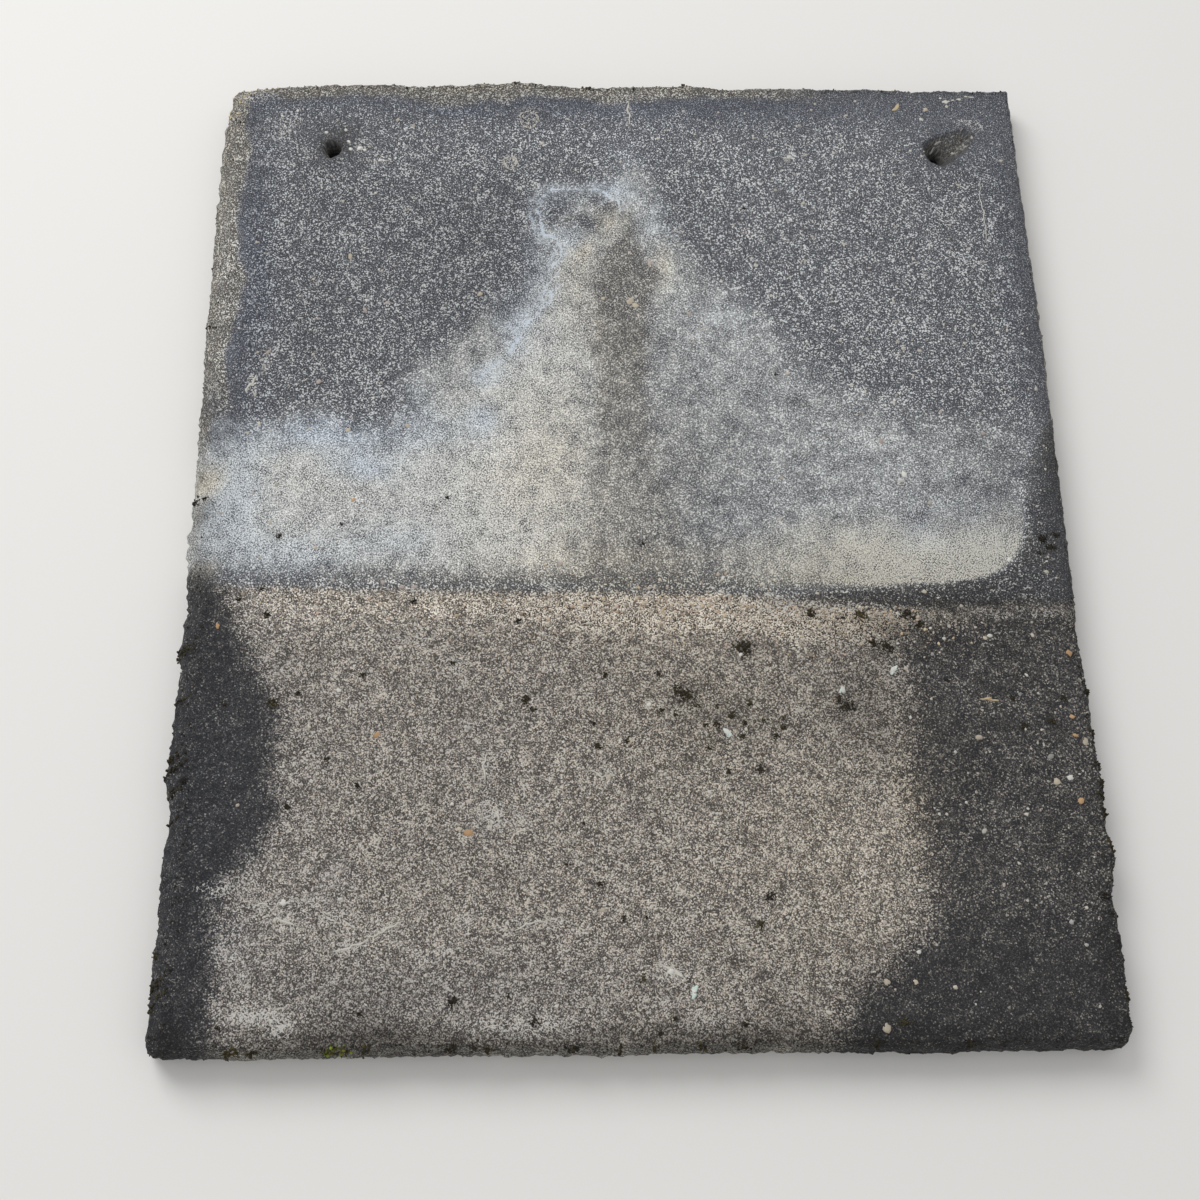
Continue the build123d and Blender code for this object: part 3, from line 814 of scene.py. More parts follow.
# Colours of the stains: dark and light grit, thin and old lime, the tide's line, dark and light
# silt, the joint as a share of what it lies on, the crust, and dark and light dirt, which also
# paints shade in the nail holes and the scar
GRIT = (shown(62, 56, 48), shown(248, 239, 226))
LIME = (shown(199, 205, 208), shown(212, 208, 199))
TIDE = shown(206, 215, 224)
SILT = (shown(166, 165, 157), shown(206, 204, 196))
JOINT = (0.94, 0.89, 0.81)
CRUST = shown(216, 213, 207)
DIRT_AND_SHADE = (shown(49, 49, 50), shown(80, 79, 78))

# Sizes of the grain and its drifts, in millimetres, and the depth of its relief
FINE_GRAIN = 0.58
DUST_GRAIN = 0.46
SMALL_GRAIN = 0.62
LARGE_GRAIN = 1.35
RIDGE_NET = 2.4
MIDDLING_DRIFT = 3.2
PATCH_DRIFT = 6
MOTTLE_DRIFT = 9
LACE_DRIFT = 11
BROAD_DRIFT = 48
GRAIN_RELIEF = 0.32

slab = new_object("weathered_slab", skin.mesh("weathered_slab"))
stain_shares = stains(points_of(slab.data))
for name, share in stain_shares.items():
    slab.data.attributes.new(name, "FLOAT", "POINT").data.foreach_set("value", share.astype("f"))

# Cast stone: light grains in a dark skin where it lay covered, bare close-set grains where it
# did not, with the stains over both. The pattern is flat, and spreads down the edges.
cast_stone, surface, nodes, place = new_material("cast_stone")
stain = {
    name: nodes.node("ShaderNodeAttribute", {"attribute_name": name}, output=2)
    for name in stain_shares
}
across, along, upward = (
    place.node("ShaderNodeSeparateXYZ", {}, {"Vector": place}, axis) for axis in range(3)
)
below_face = (18 - upward).most(0.0) * 0.9
spread = nodes.node("ShaderNodeCombineXYZ", {}, {
    "X": below_face * (across.step(110, 175) - across.step(-110, -175)),
    "Y": below_face * (along.step(150, 215) - along.step(-150, -215)),
})
place = place * (1, 1, 0) + spread
turned = nodes.node("ShaderNodeMapping", {}, {"Vector": place, "Rotation": (0, 0, 0.6)})
grain_place = place + (turned.noise(1.0, 1, output=1) - 0.5) * (0.6, 0.6, 0)
mottle = turned.noise(MOTTLE_DRIFT, 4)
mottled = mottle - 0.5
broad = turned.noise(BROAD_DRIFT, 3)
fine = (turned.noise(FINE_GRAIN, 0) - 0.5) * 2
middling = (place.noise(MIDDLING_DRIFT, 2) - 0.5) * 2
patchy = turned.noise(PATCH_DRIFT, 2) - 0.5
dust = turned.stones(DUST_GRAIN, output=1).channel(0) - 0.5
small_middle = grain_place.stones(SMALL_GRAIN)
small_colour = grain_place.stones(SMALL_GRAIN, output=1)
small_draw = small_colour.channel(0)
small_edge = grain_place.stones(SMALL_GRAIN, "DISTANCE_TO_EDGE")
large_middle = grain_place.stones(LARGE_GRAIN)
large_draw = grain_place.stones(LARGE_GRAIN, output=1).channel(0)

# Brightness of the stone's grain: fine noise, dust, small grains and larger ones, in drifts
uncovered = stain["uncovered"]
bareness = uncovered.most(stain["edge"])
grained = stain["speckled"].most(bareness)
drift = mottled * 0.8
small_grain = (small_draw + 0.6 * drift).step(0.80, 1.0) * small_middle.step(0.72, 0.25)
large_grain = (large_draw + drift).step(0.82, 0.98) * (large_middle + 0.30 * fine).step(0.44, 0.24)
specks = (2.2 * small_grain + 1.3 * large_grain) * grained * (1 - 0.22 * uncovered)
level = 0.18 + (0.62 + 0.36 * grained - 0.30 * uncovered) * fine
level = level + (0.50 + 0.38 * uncovered) * dust
level = level + (0.20 + 0.30 * grained + 0.08 * uncovered) * (small_draw - 0.5)
level = level + 0.10 * middling + uncovered * (0.75 * patchy + 0.12 * middling)
level = level + specks + 0.18 * drift + 0.16 * uncovered
colour = bareness.between(level.ramp(COVERED_STONE), level.ramp(BARE_STONE))
colour = stain["edge"].between(colour, colour * (0.96, 1.0, 1.0))
gap = small_edge.step(0.12, 0.0) * (0.10 + 0.70 * bareness)
colour = gap.between(colour, colour * 0.5)
grain_hue = small_colour.channel(1).ramp(GRAIN_HUES)
colour = (0.35 + 0.65 * bareness).between(colour, colour * grain_hue)

# Grit along the lap line, then the film of algae, which hides all but the lightest specks
grit_colour = (level + 0.5 * fine).step(-0.10, 0.92).between(*GRIT)
grit_share = (stain["grit"] * 1.2 + 0.8 * mottled + 0.3 * small_grain).step(0.2, 0.95)
colour = (0.85 * grit_share).between(colour, grit_colour)
film_level = 0.21 + 0.52 * (level - specks - 0.30) + 0.70 * specks * (1.04 - stain["film"])
film_level = film_level + 0.45 * mottled
film_share = (stain["film"] + 0.35 * mottled - 0.2 * (level - 0.4)).step(0.0, 1.0)
colour = film_share.between(colour, film_level.ramp(ALGAE_FILM))

# The lime dried grainy, bluish where it is thin and cream where it is old
lime_colour = stain["warm"].step(-0.7, 0.7).between(*LIME)
lime_colour = lime_colour * (0.95 + 0.5 * fine + 0.50 * small_grain + 0.40 * large_grain)
grainy = 0.97 + 0.9 * mottled + 1.0 * fine + 0.6 * (small_draw - 0.5) + 0.42 * middling
lime_share = stain["lime"] * grainy + 0.40 * mottled * stain["lime"].step(0.0, 0.3)
colour = lime_share.held(0.0, 0.95).between(colour, lime_colour)

# The last tide left a thin bright line, a fainter one behind it, and wisps
lace = place.noise(LACE_DRIFT, 4)
line = stain["line"] + 5.5 * (lace - 0.5)
edge_line = 1.25 * abs(line + 0.6 * middling).step(1.15, 0.2)
edge_line = edge_line + 0.5 * abs(line + 3.6 + middling).step(1.3, 0.2)
edge_line = edge_line * (mottle + 0.35 * middling).step(0.30, 0.62)
edge_line = edge_line + 0.18 * line.step(-8, -1) * line.step(5, 0)
wisp = abs(lace - 0.52).step(0.022, 0.004) * line.step(-9, -1) * line.step(12, 3)
tide_share = (0.95 * edge_line + 0.40 * wisp) * stain["tide"] * (0.90 + 0.9 * fine + 1.1 * middling)
colour = tide_share.held(0.0, 0.9).between(colour, TIDE)

# Silt, the joint, the warmth and tone of each place, which hold some painted light and shade,
# and over them the crust's ridges and the dirt with its painted shade
silt_share = stain["silt"] * (0.98 + 0.8 * mottled + 1.4 * fine + 0.5 * middling)
silt_colour = (0.4 + 1.8 * fine + 0.8 * small_grain).between(*SILT)
colour = (0.87 * silt_share).held(0.0, 0.9).between(colour, silt_colour)
colour = (0.9 * stain["joint"]).between(colour, colour * JOINT)
warmth = stain["warm"].held(-1.2, 1.2)
cast = nodes.node("ShaderNodeCombineColor", {}, {
    0: 1 + 0.040 * warmth, 1: 1 + 0.008 * warmth, 2: 1 - 0.070 * warmth,
})
colour = colour * cast * (stain["tone"] * (0.92 + 0.20 * broad))
ridge = abs(place.noise(RIDGE_NET, 2) - 0.5).step(0.075, 0.0)
crusted = (0.95 * stain["crust"] + 0.90 * ridge + 0.6 * dust).step(0.72, 1.16)
crusted = crusted * stain["crust"].step(0.03, 0.16)
colour = (0.88 * crusted).between(colour, CRUST)
dirt_and_shade_share = (stain["dirt"] + 0.25 * fine * stain["dirt"].step(0.0, 0.3)).held(0.0, 1.0)
colour = (0.85 * dirt_and_shade_share).between(colour, (0.5 + fine).between(*DIRT_AND_SHADE))

relief = 0.6 * small_grain + 0.6 * large_grain + 0.25 * fine - 0.5 * gap
bump = nodes.node("ShaderNodeBump", {}, {
    "Strength": 1.0, "Distance": GRAIN_RELIEF * MM, "Height": relief,
})
colour.feed(surface, "Base Color")
(0.93 - 0.12 * stain["film"]).feed(surface, "Roughness")
bump.feed(surface, "Normal")
slab.data.materials.append(cast_stone)
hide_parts("roof_tile")
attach(slab, "root")

# Pebbles and coarse sand
# The stones of the mix that wear has laid bare: rounded pebbles here and there in the face, each
# sunk to its shoulders, rings of coarse grains round two old scars, and pale sand in between.
PEBBLE_COLOURS = {
    "orange": (182, 148, 110), "white": (208, 207, 200), "tan": (184, 174, 156),
    "pink": (176, 164, 156), "grey": (142, 140, 137),
}

# Pebbles: place across and along, and reach
PEBBLES = {
    "orange": [
        (183, -68, 1.8), (181, -96, 1.5), (181, -104, 1.4), (147, -88, 1.1), (-68, -144, 2.2),
        (-106, -103, 1.4), (-120, 3, 1.5), (-174, -55, 1.8), (180, -132, 1.6),
    ],
    "white": [
        (177, -122, 1.5), (-140, -171, 1.8), (38, -34, 1.4), (20, -207, 1.9), (86, -84, 1.6),
        (108, -75, 1.9), (37, -102, 1.9), (11, -199, 2.2), (-118, -170, 1.2), (5, -90, 1.1),
        (44, -68.5, 1.3), (118, 13, 1.7), (-56, -139, 1.0), (150, -60, 1.2), (79, 184, 1.4),
        (162, -25, 1.5), (-75, -132, 1.0), (-130.5, 191, 1.2), (-129.2, 186.8, 1.1), (-125, 187.2, 1.7),
        (-122.6, 186.2, 1.0), (120, 16, 1.7), (-141, 196, 0.9), (-132, 197.5, 0.8), (155, 220, 0.9),
    ],
    "tan": [
        (185, -107, 2.6), (141, -105, 1.9), (1.5, 103.5, 2.5), (171, -124, 2.4), (58, -127, 2.1),
        (95, -204, 1.7), (106, -204, 1.5), (93, -221, 2.4), (-67, 107, 2.2), (-127, 127, 2.0),
        (124, -40, 1.2), (147, 212.8, 1.7), (108, 209, 1.3), (-72, -142, 1.5), (-3, -106, 2.4),
        (-15, -175, 1.9), (-12, -121, 1.9), (-98, 39, 1.9), (-124, 37, 1.6), (-155, -8, 1.1),
        (28, 97, 1.4), (33, 92, 1.2), (66, 14, 1.1), (84, 158, 1.5), (148, -61, 1.3), (-11, 105, 1.4),
        (4, 101, 1.5), (-118, -55, 1.4),
    ],
    "pink": [
        (11, 124, 1.8), (111, 32, 2.6), (-161, 76, 1.7), (-138, 61, 1.9), (-93, -38, 1.8),
        (-98, -38, 1.2), (-106, -36, 1.2), (157, 36, 1.3), (98, -136, 1.2), (84, -146, 1.3),
        (139, 47, 1.2), (-119, 98, 1.5), (-109, 102, 1.6), (82, -58, 1.2), (-31, -27, 1.3),
    ],
    "grey": [
        (170, -113, 1.5), (-10, -203, 1.3), (125, -68, 1.2), (-132, -20, 1.2), (160, -86, 1.3),
        (153, -149, 1.3), (-70, 30, 1.2),
    ],
}

# A stone's height as a share of its reach, the share of that height by which its middle is
# sunk, and the height above which nothing stands
STONE_STANDING = 0.45
STONE_SUNK = 0.72
TOP_LIMIT = 19.48

# The sand's count, its least reach and the step of its gamma draw, and its colours. Then how
# many of the round scars are ringed by grains, with how many, and of what colour.
SAND_COUNT = 1500
SAND_FROM, SAND_STEP = 0.32, 0.16
SAND_COLOURS = [(176, 173, 166), (190, 184, 172), (168, 162, 153), (186, 176, 166), (198, 196, 190)]
RINGS_OF_GRAINS = 2
RING_GRAINS = 110
RING_COLOUR = (196, 191, 184)


def lumps(middles, reaches, turns, seed, rings=2, spokes=6, swelling=0.16):
    """Rounded lumps as points and triangles: ring i of each lies at the angle pi i / (rings + 1)
    from its top and spoke j at 2 pi j / spokes. The point there, on a sphere of radius 1, is
    swelled by a random share, stretched by the lump's three reaches, turned and set in place."""
    down, about = np.meshgrid(
        np.pi * np.arange(1, rings + 1) / (rings + 1), tau * np.arange(spokes) / spokes, indexing="ij"
    )
    sphere = np.stack([np.sin(down) * np.cos(about), np.sin(down) * np.sin(about), np.cos(down)], -1)
    sphere = np.concatenate([[[0, 0, 1]], sphere.reshape(-1, 3), [[0, 0, -1]]])
    first = 1 + np.arange(spokes)
    following = np.roll(first, -1)
    triangles = [np.stack([0 * first, first, following], 1)]
    for upper in range(0, (rings - 1) * spokes, spokes):
        lower = upper + spokes
        triangles.append(np.stack([first + upper, first + lower, following + lower], 1))
        triangles.append(np.stack([first + upper, following + lower, following + upper], 1))
    last = (rings - 1) * spokes
    triangles.append(np.stack([first + last, 0 * first + len(sphere) - 1, following + last], 1))
    triangles = np.concatenate(triangles)
    draw = np.random.default_rng(seed)
    swell = 1 + swelling * np.clip(draw.normal(size=(len(middles), len(sphere), 1)), -1.6, 1.6)
    points = sphere * swell * np.asarray(reaches)[:, None, :]
    cosine, sine = np.cos(turns)[:, None], np.sin(turns)[:, None]
    points = np.stack([
        cosine * points[..., 0] - sine * points[..., 1],
        sine * points[..., 0] + cosine * points[..., 1],
        points[..., 2],
    ], -1)
    points += np.asarray(middles)[:, None, :]
    points[..., 2] = np.clip(points[..., 2], 0.2, TOP_LIMIT)
    numbers = np.arange(len(middles))[:, None, None] * len(sphere)
    return points.reshape(-1, 3), (triangles + numbers).reshape(-1, 3)


def tinted_piece(name, points, polygons, tints, material):
    """A piece made of many parts of as many points each, with a colour of its own for each."""
    mesh = bpy.data.meshes.new(name)
    mesh.from_pydata((points * MM).tolist(), [], list(polygons))
    mesh.shade_smooth()
    colours = np.ones((len(points), 4), "f")
    colours[:, :3] = np.repeat(tints, len(points) // len(tints), axis=0)
    mesh.attributes.new("tint", "FLOAT_COLOR", "POINT").data.foreach_set("color", colours.ravel())
    mesh.materials.append(material)
    return new_object(name, mesh)


def painted(name, grain_size, contrast, bump_depth, roughness):
    """A material that takes each lump's own colour and mottles it with noise of the grain's size
    and of four times that size."""
    material, surface, nodes, place = new_material(name)
    tint = nodes.node("ShaderNodeAttribute", {"attribute_name": "tint"})
    grain, blotch = (
        nodes.node("ShaderNodeTexNoise", {}, {"Vector": place, "Scale": share / grain_size})
        for share in (1, 0.25)
    )
    colour = tint * (1 - contrast / 2 + contrast * (0.6 * grain + 0.4 * blotch))
    bump = nodes.node("ShaderNodeBump", {}, {
        "Strength": 1.0, "Distance": bump_depth * MM, "Height": grain,
    })
    colour.feed(surface, "Base Color")
    bump.feed(surface, "Normal")
    surface.inputs["Roughness"].default_value = roughness
    return material


draw = np.random.default_rng(41)
named = np.array([
    (*spot, *shown(*PEBBLE_COLOURS[kind])) for kind, spots in PEBBLES.items() for spot in spots
])
sand_x = draw.uniform(-176, 185, SAND_COUNT)
sand_y = draw.uniform(-222, 219, SAND_COUNT)
sand_size = SAND_FROM + SAND_STEP * draw.gamma(2.0, 1.0, SAND_COUNT)
sand_tints = np.array([shown(*colour) for colour in SAND_COLOURS])
sand_tint = sand_tints[draw.integers(0, len(SAND_COLOURS), SAND_COUNT)]

# Lime hides some of the sand, and the film most of it
bloom = reach_inside(LIME_EDGE, sand_x, sand_y) > 4
film_here = np.maximum(
    smoothstep(-6, 8, reach_inside(LEFT_FILM_EDGE, sand_x, sand_y)),
    smoothstep(-180, -196, sand_y) * smoothstep(90, 110, sand_x),
)
kept = draw.uniform(size=SAND_COUNT) > 0.55 * bloom + 0.85 * film_here
sand = np.column_stack([sand_x, sand_y, np.clip(sand_size, 0.3, 1.3), sand_tint])[kept]
ring_angles = draw.uniform(0, tau, RING_GRAINS)
ring_tint = np.array([shown(*RING_COLOUR)] * RING_GRAINS)
for ring_x, ring_y, ring_radius, _ in RING_SCARS[:RINGS_OF_GRAINS]:
    reach = ring_radius + 0.5 + 0.35 * draw.normal(size=RING_GRAINS) + 0.3 * np.sin(3 * ring_angles)
    ring_grains = np.column_stack([
        ring_x + reach * np.cos(ring_angles), ring_y + 1.15 * reach * np.sin(ring_angles),
        draw.uniform(0.22, 0.48, RING_GRAINS), ring_tint,
    ])
    sand = np.concatenate([sand, ring_grains])
stones = np.concatenate([named, sand])
stone_x, stone_y, stone_size = stones[:, :3].T
stone_across = stone_size * draw.uniform(0.8, 1.2, len(stones))
stone_along = stone_size * draw.uniform(0.65, 1.0, len(stones))
standing = STONE_STANDING * stone_size
stone_height = face_height(stone_x, stone_y) + 0.12 - STONE_SUNK * standing
stone_points, stone_triangles = lumps(
    np.column_stack([stone_x, stone_y, stone_height]),
    np.column_stack([stone_across, stone_along, standing]),
    draw.uniform(0, tau, len(stones)), 42, rings=4, spokes=8,
)
pebbles = tinted_piece(
    "exposed_pebbles", stone_points, stone_triangles.tolist(),
    stones[:, 3:] * draw.uniform(0.85, 1.1, (len(stones), 1)),
    painted("pebble_stone", grain_size=0.7, contrast=0.5, bump_depth=0.08, roughness=0.75),
)
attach(pebbles, "root")

# Lap grit
# Coarse sand that the rain washed down and left in a band where the course above ended. It lies
# loose-bedded on the face, thickest in the middle of the tile.

# The grit's count, its least reach and the step of its gamma draw, the share of it that lies
# above the lap line, and its colours
GRIT_COUNT = 5200
GRIT_FROM, GRIT_STEP = 0.34, 0.12
GRIT_ABOVE_LAP = 0.16
GRIT_COLOURS = [
    (178, 166, 150), (200, 189, 173), (150, 139, 124), (190, 168, 150), (210, 205, 195),
    (126, 117, 106), (196, 178, 152),
]
draw = np.random.default_rng(51)
grit_x = draw.uniform(-165, 184, GRIT_COUNT)
below_lap = np.where(
    draw.uniform(size=GRIT_COUNT) < GRIT_ABOVE_LAP,
    -draw.gamma(1.6, 3.4, GRIT_COUNT), draw.gamma(2.0, 4.2, GRIT_COUNT),
)
grit_y = LAP_LINE + LAP_SLOPE * grit_x - 3.5 * smoothstep(40, 75, grit_x) - below_lap
share_here = 0.08 * (grit_x < 130) + 0.62 * np.exp(-(((grit_x - 22) / 62) ** 2))
share_here = share_here + 0.30 * np.exp(-(((grit_x - 92) / 30) ** 2))
share_here *= np.where(below_lap < 0, np.exp(-(((grit_x - 5) / 40) ** 2)), 1)
kept = draw.uniform(size=GRIT_COUNT) < share_here
grit_x, grit_y = grit_x[kept], grit_y[kept]
grit_size = np.clip(GRIT_FROM + GRIT_STEP * draw.gamma(2.0, 1.0, len(grit_x)), 0.3, 0.95)
grit_height = face_height(grit_x, grit_y) - 0.05 * grit_size
grit_points, grit_triangles = lumps(
    np.column_stack([grit_x, grit_y, grit_height]),
    grit_size[:, None] * draw.uniform(0.7, 1.15, (len(grit_x), 3)) * [1, 1, 0.6],
    draw.uniform(0, tau, len(grit_x)), 52,
)
grit_tints = np.array([shown(*colour) for colour in GRIT_COLOURS])
grit_tint = grit_tints[draw.integers(0, len(GRIT_COLOURS), len(grit_x))]
lap_grit = tinted_piece(
    "lap_grit", grit_points, grit_triangles.tolist(),
    grit_tint * draw.uniform(0.8, 1.1, (len(grit_x), 1)),
    painted("washed_sand", grain_size=0.6, contrast=0.5, bump_depth=0.06, roughness=0.85),
)
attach(lap_grit, "root")

# Moss
# Cushions of dead and living moss in the face's pits and crumbling tufts along its edges. Each is
# a heap of small crumbs, nearly black where dry, olive where it still grows.
DRY_MOSS, OLIVE_MOSS, FRESH_MOSS = (42, 38, 32), (92, 84, 50), (122, 140, 44)

# The grains at the head's left corner, and half of the crumbs along the head, are paler
CORNER_GRAIN, HEAD_CRUMB = (204, 190, 156), (128, 118, 98)

# A heap's crumbs are this many times the power of its reach
MOSS_HEAP = 8.5
TUFT_HEAP = 9
HEAP_GROWTH = 1.7

# The distance between the rim's points, the loose crumbs' count and the rings of the edge that
# they lie on, and the ring whose places say how thickly they lie
RIM_SPACING = 1.6
CRUMB_COUNT = 1100
FIRST_CRUMB_RING, LAST_CRUMB_RING = 1, 8
UPPER_EDGE_RING = 4

# Cushions on the face: place across and along, reach, and how green it is
MOSS_SPOTS = [
    (45, -65, 4.4, 0.25), (21, -86, 4.0, 0.25), (17, -84, 2.4, 0.3), (-46, -88, 2.2, 0.3),
    (-43, -92, 1.6, 0.3), (-149, -89, 2.4, 0.5), (-139, -85, 1.2, 0.2), (-113, -77, 1.4, 0.2),
    (-141, -133, 1.6, 0.1), (-126, -113, 1.3, 0.1), (-113, -124, 1.3, 0.1), (106, -65, 3.0, 0.15),
    (100, -63, 1.8, 0.15), (39, -95, 1.8, 0.3), (33, -99, 1.7, 0.3), (44, -98, 1.5, 0.3),
    (87, -91, 3.2, 0.2), (84, -88, 1.6, 0.2), (60, -100, 1.7, 0.3), (50, -118, 2.2, 0.2),
    (37, -119, 1.2, 0.2), (51, -170, 2.1, 0.0), (47, -181, 2.1, 0.7), (-73, -210, 2.5, 0.05),
    (-42, -218, 2.3, 0.05), (-109, -214, 1.4, 0.05), (-162, -219, 1.2, 0.1), (-16, -165, 1.4, 0.1),
    (-7, -178, 1.1, 0.1), (2, -178, 0.9, 0.1), (-22, -140, 1.0, 0.1), (-29, -157, 0.9, 0.1),
    (0, -202, 1.6, 0.8), (100, -219, 2.2, 0.5), (39, -219, 1.8, 0.1), (12, -217, 1.3, 0.1),
    (6, -222, 1.2, 0.1), (-49, -53, 1.6, 0.1), (-151, -14, 1.5, 0.0), (-166, -43, 1.4, 0.1),
    (-154, -50, 1.7, 0.1), (-157, -38, 1.2, 0.1), (-93, -44, 1.4, 0.1), (4, -18, 1.0, 0.0),
    (-13, -77, 1.3, 0.2), (9, -77, 1.4, 0.2), (-16, -108, 1.5, 0.2), (-4, -106, 1.6, 0.3),
    (185, -171, 2.0, 0.0), (75, -50, 2.5, 0.3), (96, -51, 3.0, 0.6), (115, -50, 2.9, 0.2),
    (121, -55, 2.2, 0.2), (118, -52, 1.4, 0.2), (-76, -72, 1.4, 0.3), (88, -52, 1.0, 0.3),
    (10, -93, 1.2, 0.3), (16, -95, 1.2, 0.3), (52, -97, 1.2, 0.3), (25, -91, 1.0, 0.3),
    (-52, -208, 1.0, 0.2), (-65, -227, 1.5, 0.1), (160, -100, 1.6, 0.2), (172, -98, 1.8, 0.3),
    (157, -88, 1.5, 0.2), (178, -88, 1.4, 0.2), (130, -80, 1.2, 0.1), (-18, -98, 1.3, 0.2),
    (29, -109, 1.0, 0.2), (61, -96, 1.1, 0.3), (-169, -90, 1.1, 0.1), (-183, -122, 1.3, 0.0),
    (178, -15, 2.2, 0.05), (181, -19, 2.2, 0.05), (184, -13, 1.8, 0.05), (176, -22, 1.3, 0.05),
    (47, -90, 1.3, 0.3), (34, -91, 1.1, 0.3), (57, -104, 1.3, 0.3), (28, -99, 1.0, 0.3),
    (43, -104, 1.2, 0.3), (66, 66, 1.0, 0.0), (56, 155, 0.8, 0.0), (-80, 4, 0.7, 0.0),
    (-125, -9, 0.8, 0.0),
]

# Tufts along the edges, given in the same way
EDGE_TUFTS = [
    (-189, -66, 2.6, 0.3), (-189, -88, 1.6, 0.3), (-190, -112, 2.6, 0.2), (-189, -118, 2.0, 0.2),
    (-190, -128, 2.2, 0.2), (-190, -140, 1.6, 0.2), (-190, -191, 2.0, 0.3), (-190, -205, 2.8, 0.3),
    (-189, -212, 2.0, 0.4), (-158, -228, 3.2, 0.6), (-150, -228, 2.0, 0.4), (-120, -227, 3.6, 1.4),
    (-115, -228, 2.4, 1.2), (-107, -229, 2.2, 0.6), (-75, -229, 3.0, 0.2), (-60, -229, 1.8, 0.3),
    (-27, -228, 2.8, 0.1), (-10, -229, 1.8, 0.3), (4, -229, 1.6, 0.3), (22, -229, 1.8, 0.5),
    (39, -229, 2.6, 0.2), (91, -229, 1.8, 0.2), (126, -229, 2.2, 0.2), (188, -85, 1.8, 0.3),
    (189, -102, 2.2, 0.3), (189, -115, 1.8, 0.3), (190, -124, 2.2, 0.4), (190, -130, 2.4, 0.4),
    (190, -137, 2.2, 0.4), (190, -150, 2.4, 0.5), (190, -160, 1.6, 0.3), (190, -210, 3.6, 0.4),
    (-18, 227, 2.8, 0.0), (-110, 226, 1.4, 0.1), (-52, 227, 1.6, 0.1), (30, 227, 1.5, 0.1),
    (-189, 92, 1.2, 0.0), (-188, 4, 1.6, 0.0),
]

draw = np.random.default_rng(61)
spots = np.array(MOSS_SPOTS)
spots = np.repeat(spots, np.ceil(MOSS_HEAP * spots[:, 2] ** HEAP_GROWTH).astype(int), axis=0)
off_middle = 0.52 * spots[:, 2, None] * draw.normal(size=(len(spots), 2)) * [1.1, 0.9]
moss_x, moss_y = (spots[:, :2] + off_middle).T
closeness = np.exp(-((np.hypot(*off_middle.T) / spots[:, 2]) ** 2))
moss_size = draw.uniform(0.28, 0.55, len(spots)) * (0.6 + 0.5 * closeness)
moss_middles = np.column_stack([moss_x, moss_y, face_height(moss_x, moss_y) + 0.25 * closeness])

# Each tuft grows at the rim point nearest to it in bearing, and its crumbs spread along the rim
# and down the edge's rings, standing out most in its middle
rim_points = np.array(rings)
tufts = np.array(EDGE_TUFTS)
tuft_bearings = np.arctan2(tufts[:, 1], tufts[:, 0])
apart = abs(np.exp(1j * bearings)[None] - np.exp(1j * tuft_bearings)[:, None])
tuft_rows = np.repeat(
    np.arange(len(tufts)), np.ceil(TUFT_HEAP * tufts[:, 2] ** HEAP_GROWTH).astype(int)
)
tuft_reach = tufts[tuft_rows, 2]
along_rim = draw.normal(size=len(tuft_rows)) * 0.36 * tuft_reach
tuft_rim = apart.argmin(axis=1)[tuft_rows] + np.round(along_rim / RIM_SPACING).astype(int)
tuft_rim = tuft_rim % rim_points.shape[1]
tuft_ring = np.clip(np.round(draw.normal(5.0, 1.6, len(tuft_rows))), 1, 10).astype(int)
heaped = np.exp(-((along_rim / tuft_reach) ** 2)) * draw.uniform(-0.3, 0.5, len(tuft_rows))
tuft_middles = rim_points[tuft_ring, tuft_rim] + 0.25 * draw.normal(size=(len(tuft_rows), 3))
tuft_middles += outward[tuft_rim] * (0.30 * tuft_reach * heaped - 0.1)[:, None]

# Loose crumbs line the edges, most thickly down the sides of the tail half, along the tail, and
# at the head's left corner
rim_x, rim_y, _ = rim_points[UPPER_EDGE_RING].T
thickness = 0.10 + 0.9 * smoothstep(-20, -60, rim_y) * (abs(rim_x) > 180)
thickness += 0.40 * (rim_y > 221) + 0.7 * (rim_y < -224) + 2.6 * (rim_y > 204) * (rim_x < -168)
crumb_rim = draw.choice(len(rim_x), CRUMB_COUNT, p=thickness / thickness.sum())
crumb_ring = draw.integers(FIRST_CRUMB_RING, LAST_CRUMB_RING + 1, CRUMB_COUNT)
crumb_middles = rim_points[crumb_ring, crumb_rim] + 0.12 * draw.normal(size=(CRUMB_COUNT, 3))
crumb_middles -= 0.18 * outward[crumb_rim]

middles = np.concatenate([moss_middles, tuft_middles, crumb_middles])
sizes = np.concatenate([
    moss_size, draw.uniform(0.35, 0.75, len(tuft_middles)), draw.uniform(0.25, 0.60, CRUMB_COUNT),
])
green = np.concatenate([spots[:, 3], tufts[tuft_rows, 3], 0.15 * draw.uniform(size=CRUMB_COUNT)])
green = green * draw.uniform(0.2, 1.3, len(green))
dry, olive, fresh = (np.array(shown(*colour)) for colour in (DRY_MOSS, OLIVE_MOSS, FRESH_MOSS))
moss_tint = dry + (olive - dry) * np.clip(green, 0, 1)[:, None]
moss_tint += (fresh - olive) * np.clip(green - 0.9, 0, 0.7)[:, None] / 0.7
moss_tint[(middles[:, 0] < -165) & (middles[:, 1] > 205)] = shown(*CORNER_GRAIN)
head_crumb = (middles[:, 1] > 221) & (draw.uniform(size=len(middles)) < 0.5)
moss_tint[head_crumb] = shown(*HEAD_CRUMB)
moss_points, moss_triangles = lumps(
    middles, sizes[:, None] * draw.uniform(0.6, 1.3, (len(sizes), 3)),
    draw.uniform(0, tau, len(sizes)), 62, swelling=0.30,
)
